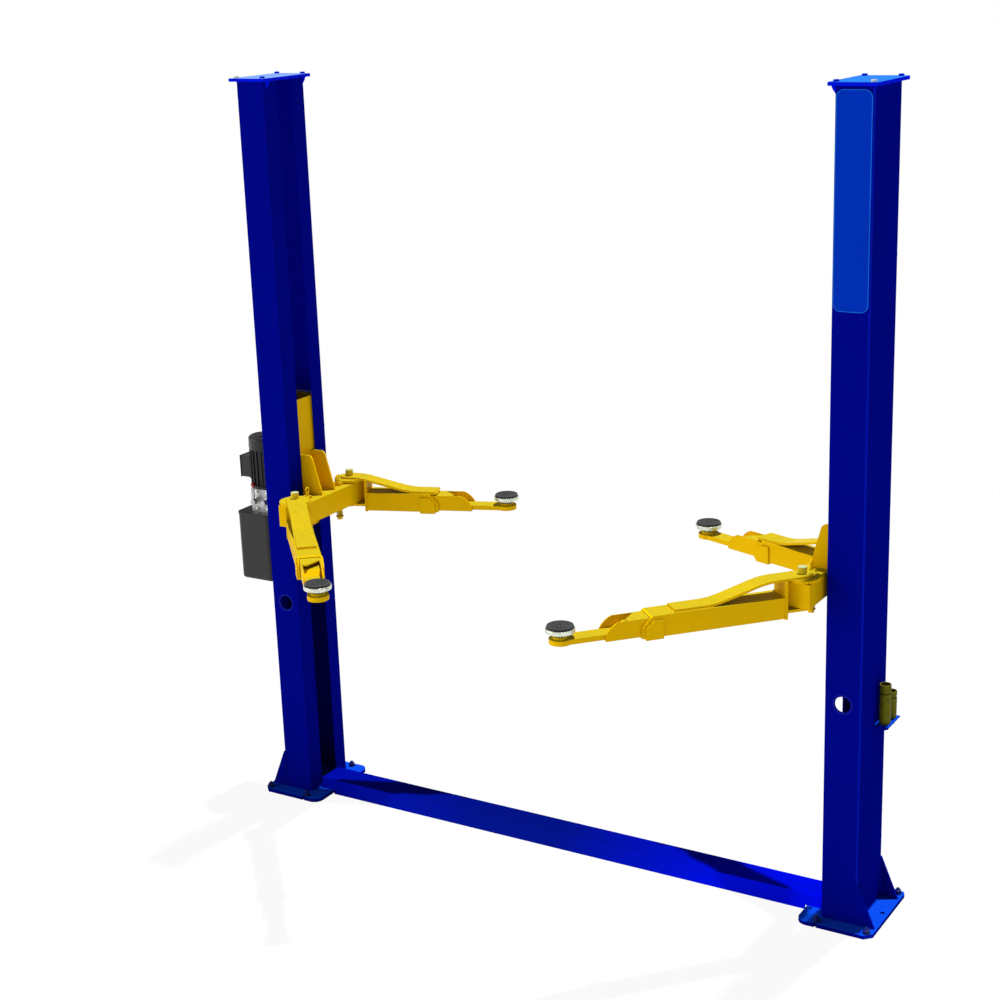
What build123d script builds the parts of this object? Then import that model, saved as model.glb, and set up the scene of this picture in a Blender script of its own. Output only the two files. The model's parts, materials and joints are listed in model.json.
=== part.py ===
from build123d import *
import os
from math import hypot

# Two post car lift: two bent steel posts on bolted base plates, joined by a low floor cover.
# A carriage slides in each post and carries two telescopic swing arms with screw pads.
# X runs from the left post to the right post, Y away from the front, Z up from the floor.
# The origin is on the floor midway between the posts. All lengths are in millimetres.

# Posts
POST_HEIGHT = 3400
INSIDE_SPAN = 2616
POST_WIDTH = 155
POST_DEPTH = 290
POST_WALL = 6
POST_BEND = 12
POST_MOUTH = 120
HATCH_HEIGHT = 976
HATCH_RADIUS = 33.5
POST_HOLE = 9
POST_HOLE_INSET = 16
POST_HOLE_DROP = 18
EMBED = 1

# Caps on the posts
CAP_THICKNESS = 14
CAP_SIDE = 20
CAP_FRONT = 26
CAP_CORNER = 6
WEB_SIDE = 24
WEB_DROP = 32
WEB_THICKNESS = 6

# Base plates, their gussets and anchors
BASE_THICKNESS = 16
BASE_DEPTH = 430
BASE_TAB = 84
BASE_LEDGE = 87
TAB_CORNER = 45
BASE_CHAMFER = 30
BASE_CORNER = 25
GUSSET_REACH = 77
GUSSET_RISE = 182
GUSSET_THICKNESS = 8
GUSSET_TOP = 1
ANCHOR_HOLE = 18
ANCHOR_STUD = 16
ANCHOR_INSET = 27
ANCHOR_HEIGHT = 48
NUT_ACROSS = 24
NUT_THICKNESS = 14
WASHER_RADIUS = 17
WASHER_THICKNESS = 3
TAB_HOLE = 12
TAB_HOLE_INSET = 22
TAB_HOLE_SPREAD = 99
NOTCH_INSET = 2
NOTCH_WIDTH = 8
NOTCH_DEPTH = 9

# Floor cover
COVER_TOP = 130
COVER_FOOT = 182
COVER_HEIGHT = 61
COVER_SHEET = 4
COVER_GAP = 8

# Sign board on the right post
SIGN_WIDTH = 140
SIGN_TALL = 816
SIGN_THICKNESS = 3
SIGN_CORNER = 30
SIGN_DROP = 27

# Racks with the spare pad sleeves
RACK_HEIGHT = 845
RACK_SHEET = 4
RACK_REACH = 62
RACK_LENGTH = 137
RACK_TURN = 34
RACK_START = 8
SLEEVE_RADIUS = 23.5
SLEEVE_TALL = 170
SHORT_SLEEVE = 116
SLEEVE_PITCH = 70
SLEEVE_SHIFT = 6
SLEEVE_BORE = 16.5
SLEEVE_GROOVE = 2
SLEEVE_RING = 0.7
STEM_RADIUS = 16
STEM_DROP = 22
PEG_RADIUS = 10
PEG_TALL = 90

# Lift cylinders inside the posts
CYLINDER_RADIUS = 31.5
CYLINDER_TALL = 1135
CYLINDER_BACKSET = 42
GLAND_RADIUS = 35
GLAND_TALL = 40
ROD_RADIUS = 20
ROD_SHOWING = 380
WHEEL_RADIUS = 50
WHEEL_THICKNESS = 25
YOKE_THICKNESS = 5
YOKE_GAP = 8

# Power unit on the left post
UNIT_CLEARANCE = 40
UNIT_STANDOFF = 12
BLOCK_WIDTH = 130
BLOCK_DEPTH = 150
BLOCK_TALL = 110
TANK_WIDTH = 190
TANK_DEPTH = 240
TANK_TALL = 330
TANK_CORNER = 25
TANK_CAP_RADIUS = 24
TANK_CAP_TALL = 18
TANK_CAP_INSET = 30
VALVE_RADIUS = 13
VALVE_LENGTH = 38
VALVE_SPREAD = 30
LEVER_RADIUS = 4
LEVER_LENGTH = 70
KNOB_RADIUS = 10
MOTOR_RADIUS = 80
MOTOR_GAP = 2
MOTOR_CORE = 72
MOTOR_TALL = 250
FLANGE_TALL = 14
FAN_COVER_TALL = 62
FAN_COVER_BEND = 14
FIN_COUNT = 20
FIN_THICKNESS = 4
TERMINAL_WIDTH = 90
TERMINAL_TALL = 100
TERMINAL_REACH = 42

# Carriages
CARRIAGE_TALL = 620
CARRIAGE_DROP = 80
CARRIAGE_SHEET = 10
CARRIAGE_SIDE = 8
CARRIAGE_HALF = 110
CARRIAGE_BACKSET = 15
LIP_GAP = 8
BLOCK_GAP = 0.4
BLOCK_LENGTH = 120
BLOCK_CORNER = 8
BEAM_WIDTH = 108
BEAM_TALL = 100
BEAM_WALL = 10
BEAM_END = 56
BEAM_GAP = 18
BRACE_THICKNESS = 8
BRACE_HALF = 53
BRACE_FOOT = 89
BRACE_HEAD = 38
BRACE_RISE = 183
BRACE_CORNER = 25

# Swing arms, at the height they have in the raised pose
ARM_HEIGHT = 1370
PIN_SPREAD = 214
PIN_RADIUS = 15
PIN_CLEARANCE = 0.1
PIN_HEAD_RADIUS = 18
PIN_HEAD_TALL = 28
PIN_FOOT = 6
FORK_GAP = 3
FORK_PLATE = 12
FORK_RISE = 18
FORK_RADIUS = 45
STRAP_WIDTH = 84
STRAP_THICKNESS = 10
STRAP_BEND = 350
FRONT_STRAP = (165, 385, 550)
REAR_STRAP = (60, 300, 430)
TUBE_WIDTH = 104
TUBE_TALL = 86
TUBE_WALL = 6
END_PLATE_START = 84
END_PLATE_LIP = 5
MOUTH_CUT = 43
COLLAR_SETBACK = 15
COLLAR_LENGTH = 71
COLLAR_WALL = 7
COLLAR_DROP = 18
COLLAR_CHAMFER = 30
GEAR_RADIUS = 72
GEAR_TEETH = 30
GEAR_TOOTH = 5
GEAR_SMOOTH = 60
FRONT_ARM = 690
REAR_ARM = 440
FRONT_ANGLE = 48
REAR_ANGLE = 19.5

# Telescopic stages
STAGE_GAP = 2
STAGE_SEAT = 0.3
STAGE_WALL = 6
FRONT_STAGE_START = 260
FRONT_STAGE_END = 832
REAR_STAGE_START = 240
REAR_STAGE_END = 600
SCOOP_LENGTH = 52
SCOOP_DEPTH = 48
SCOOP_SWELL = 20
TONGUE_ROOT = 138
TONGUE_NEAR = 95
TONGUE_TIP = 84
TONGUE_SIDE = 22
TIP_TALL = 44
TIP_WALL = 5
TIP_FLAT = 20
GUIDE_BACKSET = 92
FRONT_TIP_START = 432
FRONT_REACH = 1000
REAR_TIP_START = 320
REAR_REACH = 760
HEAD_RADIUS = 45

# Pads and arm locks
BOSS_RADIUS = 29
BOSS_TALL = 8
SCREW_RADIUS = 17
SCREW_CLEARANCE = 0.1
SCREW_SHOWING = 24
CUP_RADIUS = 58
CUP_FLOOR = 6
CUP_RIM = 18
CUP_WALL = 5
PAD_RISE = 22
PAD_EDGE = 3
PAD_GAP = 0.3
LOCK_SPACING = 95
LOCK_RADIUS = 7
LOCK_CLEARANCE = 0.5
LOCK_RISE = 3
LOCK_DROP = 66
LOCK_NUT_RADIUS = 13
LOCK_NUT_TALL = 12
PAWL_WIDTH = 32
PAWL_TALL = 12
PAWL_GAP = 2
PAWL_BACK = 11
RING_RADIUS = 11
RING_WIRE = 3

# Places worked out from the sizes above
post_inner = INSIDE_SPAN / 2
post_outer = post_inner + POST_WIDTH
post_middle = (post_inner + post_outer) / 2
post_top = POST_HEIGHT - CAP_THICKNESS
base_inner = post_inner - BASE_TAB
base_outer = post_outer + BASE_LEDGE
unit_height = RACK_HEIGHT + SLEEVE_TALL + UNIT_CLEARANCE + TANK_TALL
beam_outer = post_inner - BEAM_GAP
beam_inner = beam_outer - BEAM_WIDTH
pin_x = (beam_inner + beam_outer) / 2
tube_top = ARM_HEIGHT + TUBE_TALL
fork_top = ARM_HEIGHT + FORK_RISE + FORK_PLATE
beam_bottom = fork_top + FORK_GAP
beam_top = beam_bottom + BEAM_TALL
gear_bottom = beam_top + FORK_GAP
strap_bottom = gear_bottom + FORK_PLATE
strap_top = strap_bottom + STRAP_THICKNESS
lock_top = strap_top + LOCK_RISE
lock_bottom = beam_bottom - LOCK_DROP
frame_inner = post_inner + POST_WALL + LIP_GAP
frame_bottom = beam_bottom - CARRIAGE_DROP
frame_top = frame_bottom + CARRIAGE_TALL
stage_half = TUBE_WIDTH / 2 - TUBE_WALL - STAGE_GAP
stage_bottom = ARM_HEIGHT + TUBE_WALL + STAGE_SEAT
stage_top = tube_top - TUBE_WALL - STAGE_GAP
tip_half = stage_half - STAGE_WALL - STAGE_GAP
tip_bottom = stage_bottom + STAGE_WALL + STAGE_SEAT
flat_top = tip_bottom + TIP_FLAT
cup_bottom = flat_top + SCREW_SHOWING


def block(x0, x1, y0, y1, z0, z1):
    """A box between two corners."""
    return Pos((x0 + x1) / 2, (y0 + y1) / 2, (z0 + z1) / 2) * Box(x1 - x0, y1 - y0, z1 - z0)


def rod(radius, x, y, z0, z1):
    """An upright round bar between two heights."""
    return Pos(x, y, (z0 + z1) / 2) * Cylinder(radius, z1 - z0)


def slab(sketch, z0, z1):
    """A flat outline raised between two heights."""
    return Pos(0, 0, z0) * extrude(sketch, z1 - z0)


def drawn(points):
    """A flat outline with straight sides."""
    return make_face(Polyline(*points, close=True))


def bent(outline, place, radius):
    """Rounds the corner of an outline that is nearest to a place."""
    x, y = place
    corner = outline.vertices().sort_by(lambda v: hypot(v.X - x, v.Y - y))[0]
    return fillet(corner, radius)


def side_plate(outline, y0, y1):
    """Raises an outline drawn in X and Z between two values of Y."""
    return extrude(Plane.XZ.offset(-y1) * outline, y1 - y0)


def column():
    """One bent post with its mouth towards the middle, a round hatch and a small hole in front."""
    outside = RectangleRounded(POST_WIDTH, POST_DEPTH, POST_BEND)
    inside = RectangleRounded(
        POST_WIDTH - 2 * POST_WALL, POST_DEPTH - 2 * POST_WALL, POST_BEND - POST_WALL
    )
    mouth = Pos(-POST_WIDTH / 2, 0) * Rectangle(4 * POST_WALL, POST_MOUTH)
    shell = slab(Pos(post_middle, 0) * (outside - inside - mouth), BASE_THICKNESS, post_top)
    for x, z, radius in (
        (post_middle, HATCH_HEIGHT, HATCH_RADIUS),
        (post_outer - POST_HOLE_INSET, post_top - POST_HOLE_DROP, POST_HOLE / 2),
    ):
        shell -= Pos(x, -POST_DEPTH / 2, z) * Rot(90, 0, 0) * Cylinder(radius, 4 * POST_WALL)
    return shell


def cap_plate():
    """The plate bolted over the top of a post, with a small web under each inner corner."""
    outline = RectangleRounded(POST_WIDTH + 2 * CAP_SIDE, POST_DEPTH + 2 * CAP_FRONT, CAP_CORNER)
    cap = slab(Pos(post_middle, 0) * outline, post_top, POST_HEIGHT)
    web = drawn([
        (post_inner - CAP_SIDE, post_top + EMBED), (post_inner, post_top + EMBED),
        (post_inner, post_top - WEB_DROP), (post_inner - WEB_SIDE / 2, post_top - WEB_DROP / 2),
    ])
    edge = POST_DEPTH / 2 - POST_BEND
    corner = side_plate(web, edge - WEB_THICKNESS, edge)
    return cap + corner + mirror(corner, about=Plane.XZ)


def anchor_places():
    """The four corner anchors of one base plate."""
    reach = BASE_DEPTH / 2 - ANCHOR_INSET
    return [(x, y) for x in (post_inner, base_outer - ANCHOR_INSET) for y in (-reach, reach)]


def base_plate():
    """The floor plate under a post, with its inner tab, a notch, anchor holes and a free hole."""
    outline = Pos((base_inner + base_outer) / 2, 0) * Rectangle(base_outer - base_inner, BASE_DEPTH)
    outline = fillet(outline.vertices().group_by(Axis.X)[0], TAB_CORNER)
    outline = chamfer(outline.vertices().sort_by(Axis.X)[-2:].sort_by(Axis.Y)[0], BASE_CHAMFER)
    back = outline.vertices().sort_by(Axis.X)[-2:].sort_by(Axis.Y)[-1]
    outline = fillet(back, BASE_CORNER)
    for x, y in anchor_places() + [(base_outer - ANCHOR_INSET, 0)]:
        outline -= Pos(x, y) * Circle(ANCHOR_HOLE / 2)
    for y in (-TAB_HOLE_SPREAD, TAB_HOLE_SPREAD):
        outline -= Pos(base_inner + TAB_HOLE_INSET, y) * Circle(TAB_HOLE / 2)
    notch = Pos(post_inner + NOTCH_INSET, -BASE_DEPTH / 2) * Rectangle(NOTCH_WIDTH, 2 * NOTCH_DEPTH)
    outline -= notch
    return slab(outline, 0, BASE_THICKNESS)


def gussets():
    """The two sloping webs that brace the outside of a post on its base plate."""
    foot, top = BASE_THICKNESS, BASE_THICKNESS + GUSSET_RISE
    start = post_outer - POST_BEND
    points = [
        (start, foot), (post_outer + GUSSET_REACH, foot), (post_outer + GUSSET_TOP, top),
        (start, top),
    ]
    post = slab(
        Pos(post_middle, 0) * RectangleRounded(POST_WIDTH, POST_DEPTH, POST_BEND), 0, top + foot
    )
    front = side_plate(drawn(points), -POST_DEPTH / 2, -POST_DEPTH / 2 + GUSSET_THICKNESS) - post
    return [front, mirror(front, about=Plane.XZ)]


def anchor(x, y):
    """One anchor stud with its washer and nut."""
    seat = BASE_THICKNESS + WASHER_THICKNESS
    nut = Pos(x, y) * RegularPolygon(NUT_ACROSS / 2, 6, major_radius=False)
    return (
        rod(ANCHOR_STUD / 2, x, y, 0, ANCHOR_HEIGHT)
        + rod(WASHER_RADIUS, x, y, BASE_THICKNESS, seat)
        + slab(nut, seat, seat + NUT_THICKNESS)
    )


def floor_cover():
    """The folded cover over the cables, notched to sit on both base plates."""
    run = (COVER_FOOT - COVER_TOP) / 2
    wall = COVER_SHEET * hypot(run, COVER_HEIGHT) / COVER_HEIGHT
    roof = COVER_HEIGHT - COVER_SHEET
    under = COVER_FOOT / 2 - wall
    under_top = under - run * roof / COVER_HEIGHT
    outside = [
        (-COVER_FOOT / 2, 0), (-COVER_TOP / 2, COVER_HEIGHT),
        (COVER_TOP / 2, COVER_HEIGHT), (COVER_FOOT / 2, 0),
    ]
    inside = [(-under, 0), (-under_top, roof), (under_top, roof), (under, 0)]
    end = post_inner - COVER_GAP
    sheet = make_face(Polyline([(-end, y, z) for y, z in outside], close=True))
    hollow = make_face(Polyline([(-end, y, z) for y, z in inside], close=True))
    cover = extrude(sheet - hollow, 2 * end, dir=(1, 0, 0))
    half = COVER_FOOT / 2
    for side in (-1, 1):
        x0, x1 = sorted((side * (base_inner - COVER_GAP), side * post_inner))
        cover -= block(x0, x1, -half, half, 0, BASE_THICKNESS)
    return cover


def sign_panel():
    """The bare board on the front of the right post."""
    centre = POST_HEIGHT - SIGN_DROP - SIGN_TALL / 2
    face = Plane((post_middle, -POST_DEPTH / 2, centre), x_dir=(1, 0, 0), z_dir=(0, -1, 0))
    return extrude(face * RectangleRounded(SIGN_WIDTH, SIGN_TALL, SIGN_CORNER), SIGN_THICKNESS)


def sleeve_places():
    """The peg centres of one rack."""
    middle = RACK_START + RACK_LENGTH / 2 + SLEEVE_SHIFT
    x = post_outer + RACK_REACH / 2
    return [(x, middle - SLEEVE_PITCH / 2), (x, middle + SLEEVE_PITCH / 2)]


def adapter_rack():
    """A folded shelf on the outer face of a post, with a peg for each sleeve."""
    low = RACK_HEIGHT - RACK_SHEET
    end = RACK_START + RACK_LENGTH
    shelf = block(post_outer, post_outer + RACK_REACH, RACK_START, end, low, RACK_HEIGHT)
    back = block(
        post_outer, post_outer + RACK_SHEET, RACK_START, POST_DEPTH / 2 - POST_BEND,
        low - RACK_TURN, low,
    )
    rack = shelf + back
    for x, y in sleeve_places():
        rack += rod(PEG_RADIUS, x, y, RACK_HEIGHT, RACK_HEIGHT + PEG_TALL)
        rack += rod(STEM_RADIUS, x, y, low - STEM_DROP, low)
    return rack


def adapter_sleeve(x, y, height):
    """One spare pad sleeve, standing over its peg."""
    top = RACK_HEIGHT + height
    ring = RACK_HEIGHT + height * SLEEVE_RING
    body = rod(SLEEVE_RADIUS, x, y, RACK_HEIGHT, top)
    groove = rod(SLEEVE_RADIUS + EMBED, x, y, ring, ring + 2 * SLEEVE_GROOVE)
    groove -= rod(SLEEVE_RADIUS - SLEEVE_GROOVE, x, y, ring, ring + 2 * SLEEVE_GROOVE)
    return body - groove - rod(SLEEVE_BORE, x, y, RACK_HEIGHT, top)


def lift_cylinder():
    """The cylinder that stands in a post, with the chain wheel on its rod."""
    x = post_outer - POST_WALL - CYLINDER_BACKSET
    barrel_top = BASE_THICKNESS + CYLINDER_TALL
    gland_top = barrel_top + GLAND_TALL
    rod_top = gland_top + ROD_SHOWING
    axle = rod_top + WHEEL_RADIUS + YOKE_GAP
    wheel = Pos(x, 0, axle) * Rot(0, 90, 0) * Cylinder(WHEEL_RADIUS, WHEEL_THICKNESS)
    body = rod(CYLINDER_RADIUS, x, 0, BASE_THICKNESS, barrel_top)
    body += rod(GLAND_RADIUS, x, 0, barrel_top, gland_top)
    body += rod(ROD_RADIUS, x, 0, gland_top, rod_top)
    half = WHEEL_THICKNESS / 2
    for side in (-1, 1):
        x0, x1 = sorted((x + side * half, x + side * (half + YOKE_THICKNESS)))
        width = ROD_RADIUS / 2
        body += block(x0, x1, -width, width, rod_top - YOKE_GAP, axle + width)
    return body + wheel


def pump_block():
    """The valve block of the power unit on its bracket, with two valves and the lowering lever."""
    face = post_outer + UNIT_STANDOFF
    half = BLOCK_DEPTH / 2
    middle = unit_height + BLOCK_TALL / 2
    unit = block(face, face + BLOCK_WIDTH, -half, half, unit_height, unit_height + BLOCK_TALL)
    unit += block(
        post_outer, face, -half, half, unit_height - BLOCK_TALL / 2, unit_height + BLOCK_TALL * 1.5
    )
    centre = face + BLOCK_WIDTH / 2
    for x in (centre - VALVE_SPREAD, centre + VALVE_SPREAD):
        valve = Rot(90, 0, 0) * Cylinder(VALVE_RADIUS, VALVE_LENGTH)
        unit += Pos(x, -half - VALVE_LENGTH / 2, middle) * valve
    tip = -half - VALVE_LENGTH + VALVE_RADIUS
    x = centre + VALVE_SPREAD
    foot = middle + VALVE_RADIUS - EMBED
    unit += rod(LEVER_RADIUS, x, tip, foot, foot + LEVER_LENGTH)
    return unit + Pos(x, tip, foot + LEVER_LENGTH) * Sphere(KNOB_RADIUS)


def oil_tank():
    """The oil tank under the valve block, with its filler cap."""
    x = post_outer + UNIT_STANDOFF + TANK_WIDTH / 2
    outline = Pos(x, 0) * RectangleRounded(TANK_WIDTH, TANK_DEPTH, TANK_CORNER)
    tank = slab(outline, unit_height - TANK_TALL, unit_height)
    tank = fillet(tank.edges().group_by(Axis.Z)[0], TANK_CORNER / 2)
    tank -= block(
        post_outer, post_outer + UNIT_STANDOFF, -TANK_DEPTH, TANK_DEPTH,
        unit_height - BLOCK_TALL, unit_height + BLOCK_TALL,
    )
    cap_x = post_outer + UNIT_STANDOFF + TANK_WIDTH - TANK_CAP_INSET
    return tank + rod(TANK_CAP_RADIUS, cap_x, 0, unit_height, unit_height + TANK_CAP_TALL)


def motor():
    """The finned electric motor on the valve block, with fan cover and terminal box."""
    x = post_outer + UNIT_STANDOFF + MOTOR_RADIUS + MOTOR_GAP
    foot = unit_height + BLOCK_TALL
    top = foot + MOTOR_TALL
    body = rod(MOTOR_CORE, x, 0, foot, top - FAN_COVER_TALL)
    for turn in range(FIN_COUNT):
        fin = block(
            0, MOTOR_RADIUS, -FIN_THICKNESS / 2, FIN_THICKNESS / 2,
            foot + FLANGE_TALL, top - FAN_COVER_TALL,
        )
        body += Pos(x, 0, 0) * Rot(0, 0, 360 / FIN_COUNT * turn) * fin
    body += rod(MOTOR_RADIUS, x, 0, foot, foot + FLANGE_TALL)
    cover = rod(MOTOR_RADIUS, x, 0, top - FAN_COVER_TALL, top)
    body += fillet(cover.edges().group_by(Axis.Z)[-1], FAN_COVER_BEND)
    low = foot + (MOTOR_TALL - FAN_COVER_TALL - TERMINAL_TALL) / 2
    face = x + MOTOR_RADIUS
    body += block(
        x, face + TERMINAL_REACH, -TERMINAL_WIDTH / 2, TERMINAL_WIDTH / 2, low, low + TERMINAL_TALL
    )
    return body


def carriage_frame():
    """The sliding channel inside a post, open towards the cylinder."""
    back = post_outer - POST_WALL - CARRIAGE_BACKSET
    web = block(
        frame_inner, frame_inner + CARRIAGE_SHEET, -CARRIAGE_HALF, CARRIAGE_HALF,
        frame_bottom, frame_top,
    )
    side = block(
        frame_inner, back, CARRIAGE_HALF - CARRIAGE_SIDE, CARRIAGE_HALF, frame_bottom, frame_top
    )
    return web + side + mirror(side, about=Plane.XZ)


def slide_blocks():
    """Four plastic blocks that guide a carriage in its post."""
    x0 = post_inner + POST_WALL + BLOCK_GAP
    x1 = post_outer - POST_WALL - BLOCK_GAP
    wall = POST_DEPTH / 2 - POST_WALL - BLOCK_GAP
    blocks = []
    for z in (frame_bottom, frame_top - BLOCK_LENGTH):
        guide = block(x0, x1, CARRIAGE_HALF, wall, z, z + BLOCK_LENGTH)
        outer = guide.edges().filter_by(Axis.Z).group_by(Axis.Y)[-1]
        guide = fillet(outer, BLOCK_CORNER)
        blocks += [guide, mirror(guide, about=Plane.XZ)]
    return blocks


def lock_y():
    """How far from the middle each arm lock stands."""
    return PIN_SPREAD - LOCK_SPACING


def arm_bracket():
    """The cross beam that holds both arm pins, braced to the carriage through the mouth."""
    half = PIN_SPREAD + BEAM_END
    beam = block(beam_inner, beam_outer, -half, half, beam_bottom, beam_top)
    beam -= block(
        beam_inner + BEAM_WALL, beam_outer - BEAM_WALL, -half + BEAM_WALL, half - BEAM_WALL,
        beam_bottom + BEAM_WALL, beam_top - BEAM_WALL,
    )
    crest = beam_top + BRACE_RISE
    head = (beam_outer - BRACE_HEAD, crest)
    outline = drawn([
        (beam_outer - BRACE_FOOT, beam_top), (beam_outer, beam_top), (beam_outer, beam_bottom),
        (frame_inner, beam_bottom), (frame_inner, crest), head,
    ])
    brace = side_plate(bent(outline, head, BRACE_CORNER), BRACE_HALF - BRACE_THICKNESS, BRACE_HALF)
    bracket = beam + brace + mirror(brace, about=Plane.XZ)
    for y in (-PIN_SPREAD, PIN_SPREAD):
        bracket -= rod(PIN_RADIUS + PIN_CLEARANCE, pin_x, y, beam_bottom, beam_top)
    for y in (-lock_y(), lock_y()):
        bracket -= rod(LOCK_RADIUS + LOCK_CLEARANCE, pin_x, y, beam_bottom, beam_top)
    return bracket


def arm_pins():
    """The two headed pins that the arms swing on."""
    bottom = ARM_HEIGHT + PIN_FOOT
    seat = strap_top + PAD_GAP
    return [
        rod(PIN_RADIUS, pin_x, y, bottom, seat)
        + rod(PIN_HEAD_RADIUS, pin_x, y, seat, seat + PIN_HEAD_TALL)
        for y in (-PIN_SPREAD, PIN_SPREAD)
    ]


def gear_outline():
    """The toothed disc under the strap."""
    disc = Circle(GEAR_RADIUS)
    step = 360 / GEAR_TEETH
    for turn in range(GEAR_TEETH):
        angle = step * turn
        if GEAR_SMOOTH < angle < 360 - GEAR_SMOOTH:
            disc -= Rot(0, 0, angle) * Pos(GEAR_RADIUS, 0) * Rot(0, 0, 45) * Rectangle(
                GEAR_TOOTH, GEAR_TOOTH
            )
    return disc


def strap(flat, land, end):
    """The arched strap from the pin down to the top of the tube."""
    foot = tube_top + STRAP_THICKNESS
    outline = drawn([
        (-FORK_RADIUS, strap_bottom), (flat, strap_bottom), (land, tube_top), (end, tube_top),
        (end, foot), (land, foot), (flat, strap_top), (-FORK_RADIUS, strap_top),
    ])
    for place, radius in (
        ((flat, strap_top), STRAP_BEND), ((flat, strap_bottom), STRAP_BEND - STRAP_THICKNESS),
        ((land, foot), STRAP_BEND - STRAP_THICKNESS), ((land, tube_top), STRAP_BEND),
    ):
        outline = bent(outline, place, radius)
    bar = side_plate(outline, -STRAP_WIDTH / 2, STRAP_WIDTH / 2)
    plan = Rectangle(end, STRAP_WIDTH, align=(Align.MIN, Align.CENTER)) + Circle(STRAP_WIDTH / 2)
    return bar & slab(plan, tube_top, strap_top + EMBED)


def collar(length):
    """The reinforcement folded round the sides and bottom of the tube near its open end."""
    half = TUBE_WIDTH / 2 + COLLAR_WALL
    low = ARM_HEIGHT - COLLAR_WALL
    high = tube_top - COLLAR_DROP
    start = length - COLLAR_SETBACK - COLLAR_LENGTH
    end = length - COLLAR_SETBACK
    outline = drawn([
        (start, low), (end, low), (end, high - COLLAR_CHAMFER), (end - COLLAR_CHAMFER, high),
        (start, high),
    ])
    return side_plate(outline, -half, half)


def outer_arm(length, strap_shape):
    """The outer tube of an arm with its fork, lock gear, arched strap and collar."""
    half = TUBE_WIDTH / 2
    inner = half - TUBE_WALL
    start = END_PLATE_START + FORK_PLATE
    tube = block(start, length, -half, half, ARM_HEIGHT, tube_top)
    mouth = drawn([(length - MOUTH_CUT, tube_top), (length, tube_top - MOUTH_CUT), (length, tube_top)])
    end_plate = block(
        END_PLATE_START, start, -half, half, ARM_HEIGHT - END_PLATE_LIP, strap_bottom
    )
    fork = Circle(FORK_RADIUS) + Rectangle(
        END_PLATE_START, 2 * FORK_RADIUS, align=(Align.MIN, Align.CENTER)
    )
    arm = tube - side_plate(mouth, -half, half)
    arm += end_plate
    arm += slab(fork, fork_top - FORK_PLATE, fork_top)
    arm += slab(gear_outline(), gear_bottom, strap_bottom)
    arm += strap(*strap_shape)
    arm += collar(length)
    arm -= block(start, length, -inner, inner, ARM_HEIGHT + TUBE_WALL, tube_top - TUBE_WALL)
    return arm - rod(PIN_RADIUS + PIN_CLEARANCE, 0, 0, ARM_HEIGHT, strap_top)


def mid_stage(start, end):
    """The middle tube of an arm, open on top beyond a pointed tongue, with scooped sides."""
    inner = stage_half - STAGE_WALL
    tube = block(start, end, -stage_half, stage_half, stage_bottom, stage_top)
    tube -= block(
        start, end, -inner, inner, stage_bottom + STAGE_WALL, stage_top - STAGE_WALL
    )
    crest = (end - SCOOP_LENGTH, stage_top)
    foot = (end, stage_top - SCOOP_DEPTH)
    swell = (end - SCOOP_SWELL, stage_top - SCOOP_SWELL)
    scoop = make_face(ThreePointArc(crest, swell, foot) + Polyline(foot, (end, stage_top), crest))
    tube -= side_plate(scoop, -stage_half, stage_half)
    opening = drawn([
        (end - TONGUE_ROOT, -inner), (end - TONGUE_TIP, TONGUE_SIDE), (end - TONGUE_NEAR, inner),
        (end, inner), (end, -inner),
    ])
    return tube - slab(opening, stage_top - STAGE_WALL, stage_top)


def tip_stage(start, guide, reach):
    """The inner bar of an arm: a guide inside the middle tube, then flat out to the pad head."""
    top = tip_bottom + TIP_TALL
    slope = TIP_TALL - TIP_FLAT
    inner = tip_half - TIP_WALL
    outline = drawn([
        (start, tip_bottom), (reach, tip_bottom), (reach, flat_top), (guide + slope, flat_top),
        (guide, top), (start, top),
    ])
    bar = side_plate(outline, -tip_half, tip_half)
    hollow = block(start, guide - TIP_WALL, -inner, inner, tip_bottom + TIP_WALL, top - TIP_WALL)
    head = rod(HEAD_RADIUS, reach, 0, tip_bottom, flat_top)
    head += rod(BOSS_RADIUS, reach, 0, flat_top, flat_top + BOSS_TALL)
    bore = rod(SCREW_RADIUS + SCREW_CLEARANCE, reach, 0, tip_bottom, flat_top + BOSS_TALL)
    return bar - hollow + head - bore


def pad_screw(reach):
    """The screw and cup under a pad."""
    floor = cup_bottom + CUP_FLOOR
    cup = rod(CUP_RADIUS, reach, 0, cup_bottom, cup_bottom + CUP_RIM)
    cup -= rod(CUP_RADIUS - CUP_WALL, reach, 0, floor, cup_bottom + CUP_RIM)
    return cup + rod(SCREW_RADIUS, reach, 0, tip_bottom, cup_bottom)


def pad_rubber(reach):
    """The rubber disc in its cup."""
    seat = cup_bottom + CUP_FLOOR
    disc = rod(CUP_RADIUS - CUP_WALL - PAD_GAP, reach, 0, seat, seat + PAD_RISE)
    return chamfer(disc.edges().group_by(Axis.Z)[-1], PAD_EDGE)


def arm_lock():
    """The lock rod behind a front pin, with its pawl, pull ring and nut."""
    y = -lock_y()
    pawl_seat = beam_top + PAD_GAP
    near = -PIN_SPREAD + GEAR_RADIUS + PAWL_GAP
    pawl = block(
        pin_x - PAWL_WIDTH / 2, pin_x + PAWL_WIDTH / 2, near, y + PAWL_BACK,
        pawl_seat, pawl_seat + PAWL_TALL,
    )
    bar = rod(LOCK_RADIUS, pin_x, y, lock_bottom, lock_top)
    nut = rod(LOCK_NUT_RADIUS, pin_x, y, lock_bottom, lock_bottom + LOCK_NUT_TALL)
    ring = Pos(pin_x, y, lock_top + RING_RADIUS) * Rot(0, 90, 0) * Torus(RING_RADIUS, RING_WIRE)
    return bar + pawl + nut + ring


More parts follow.
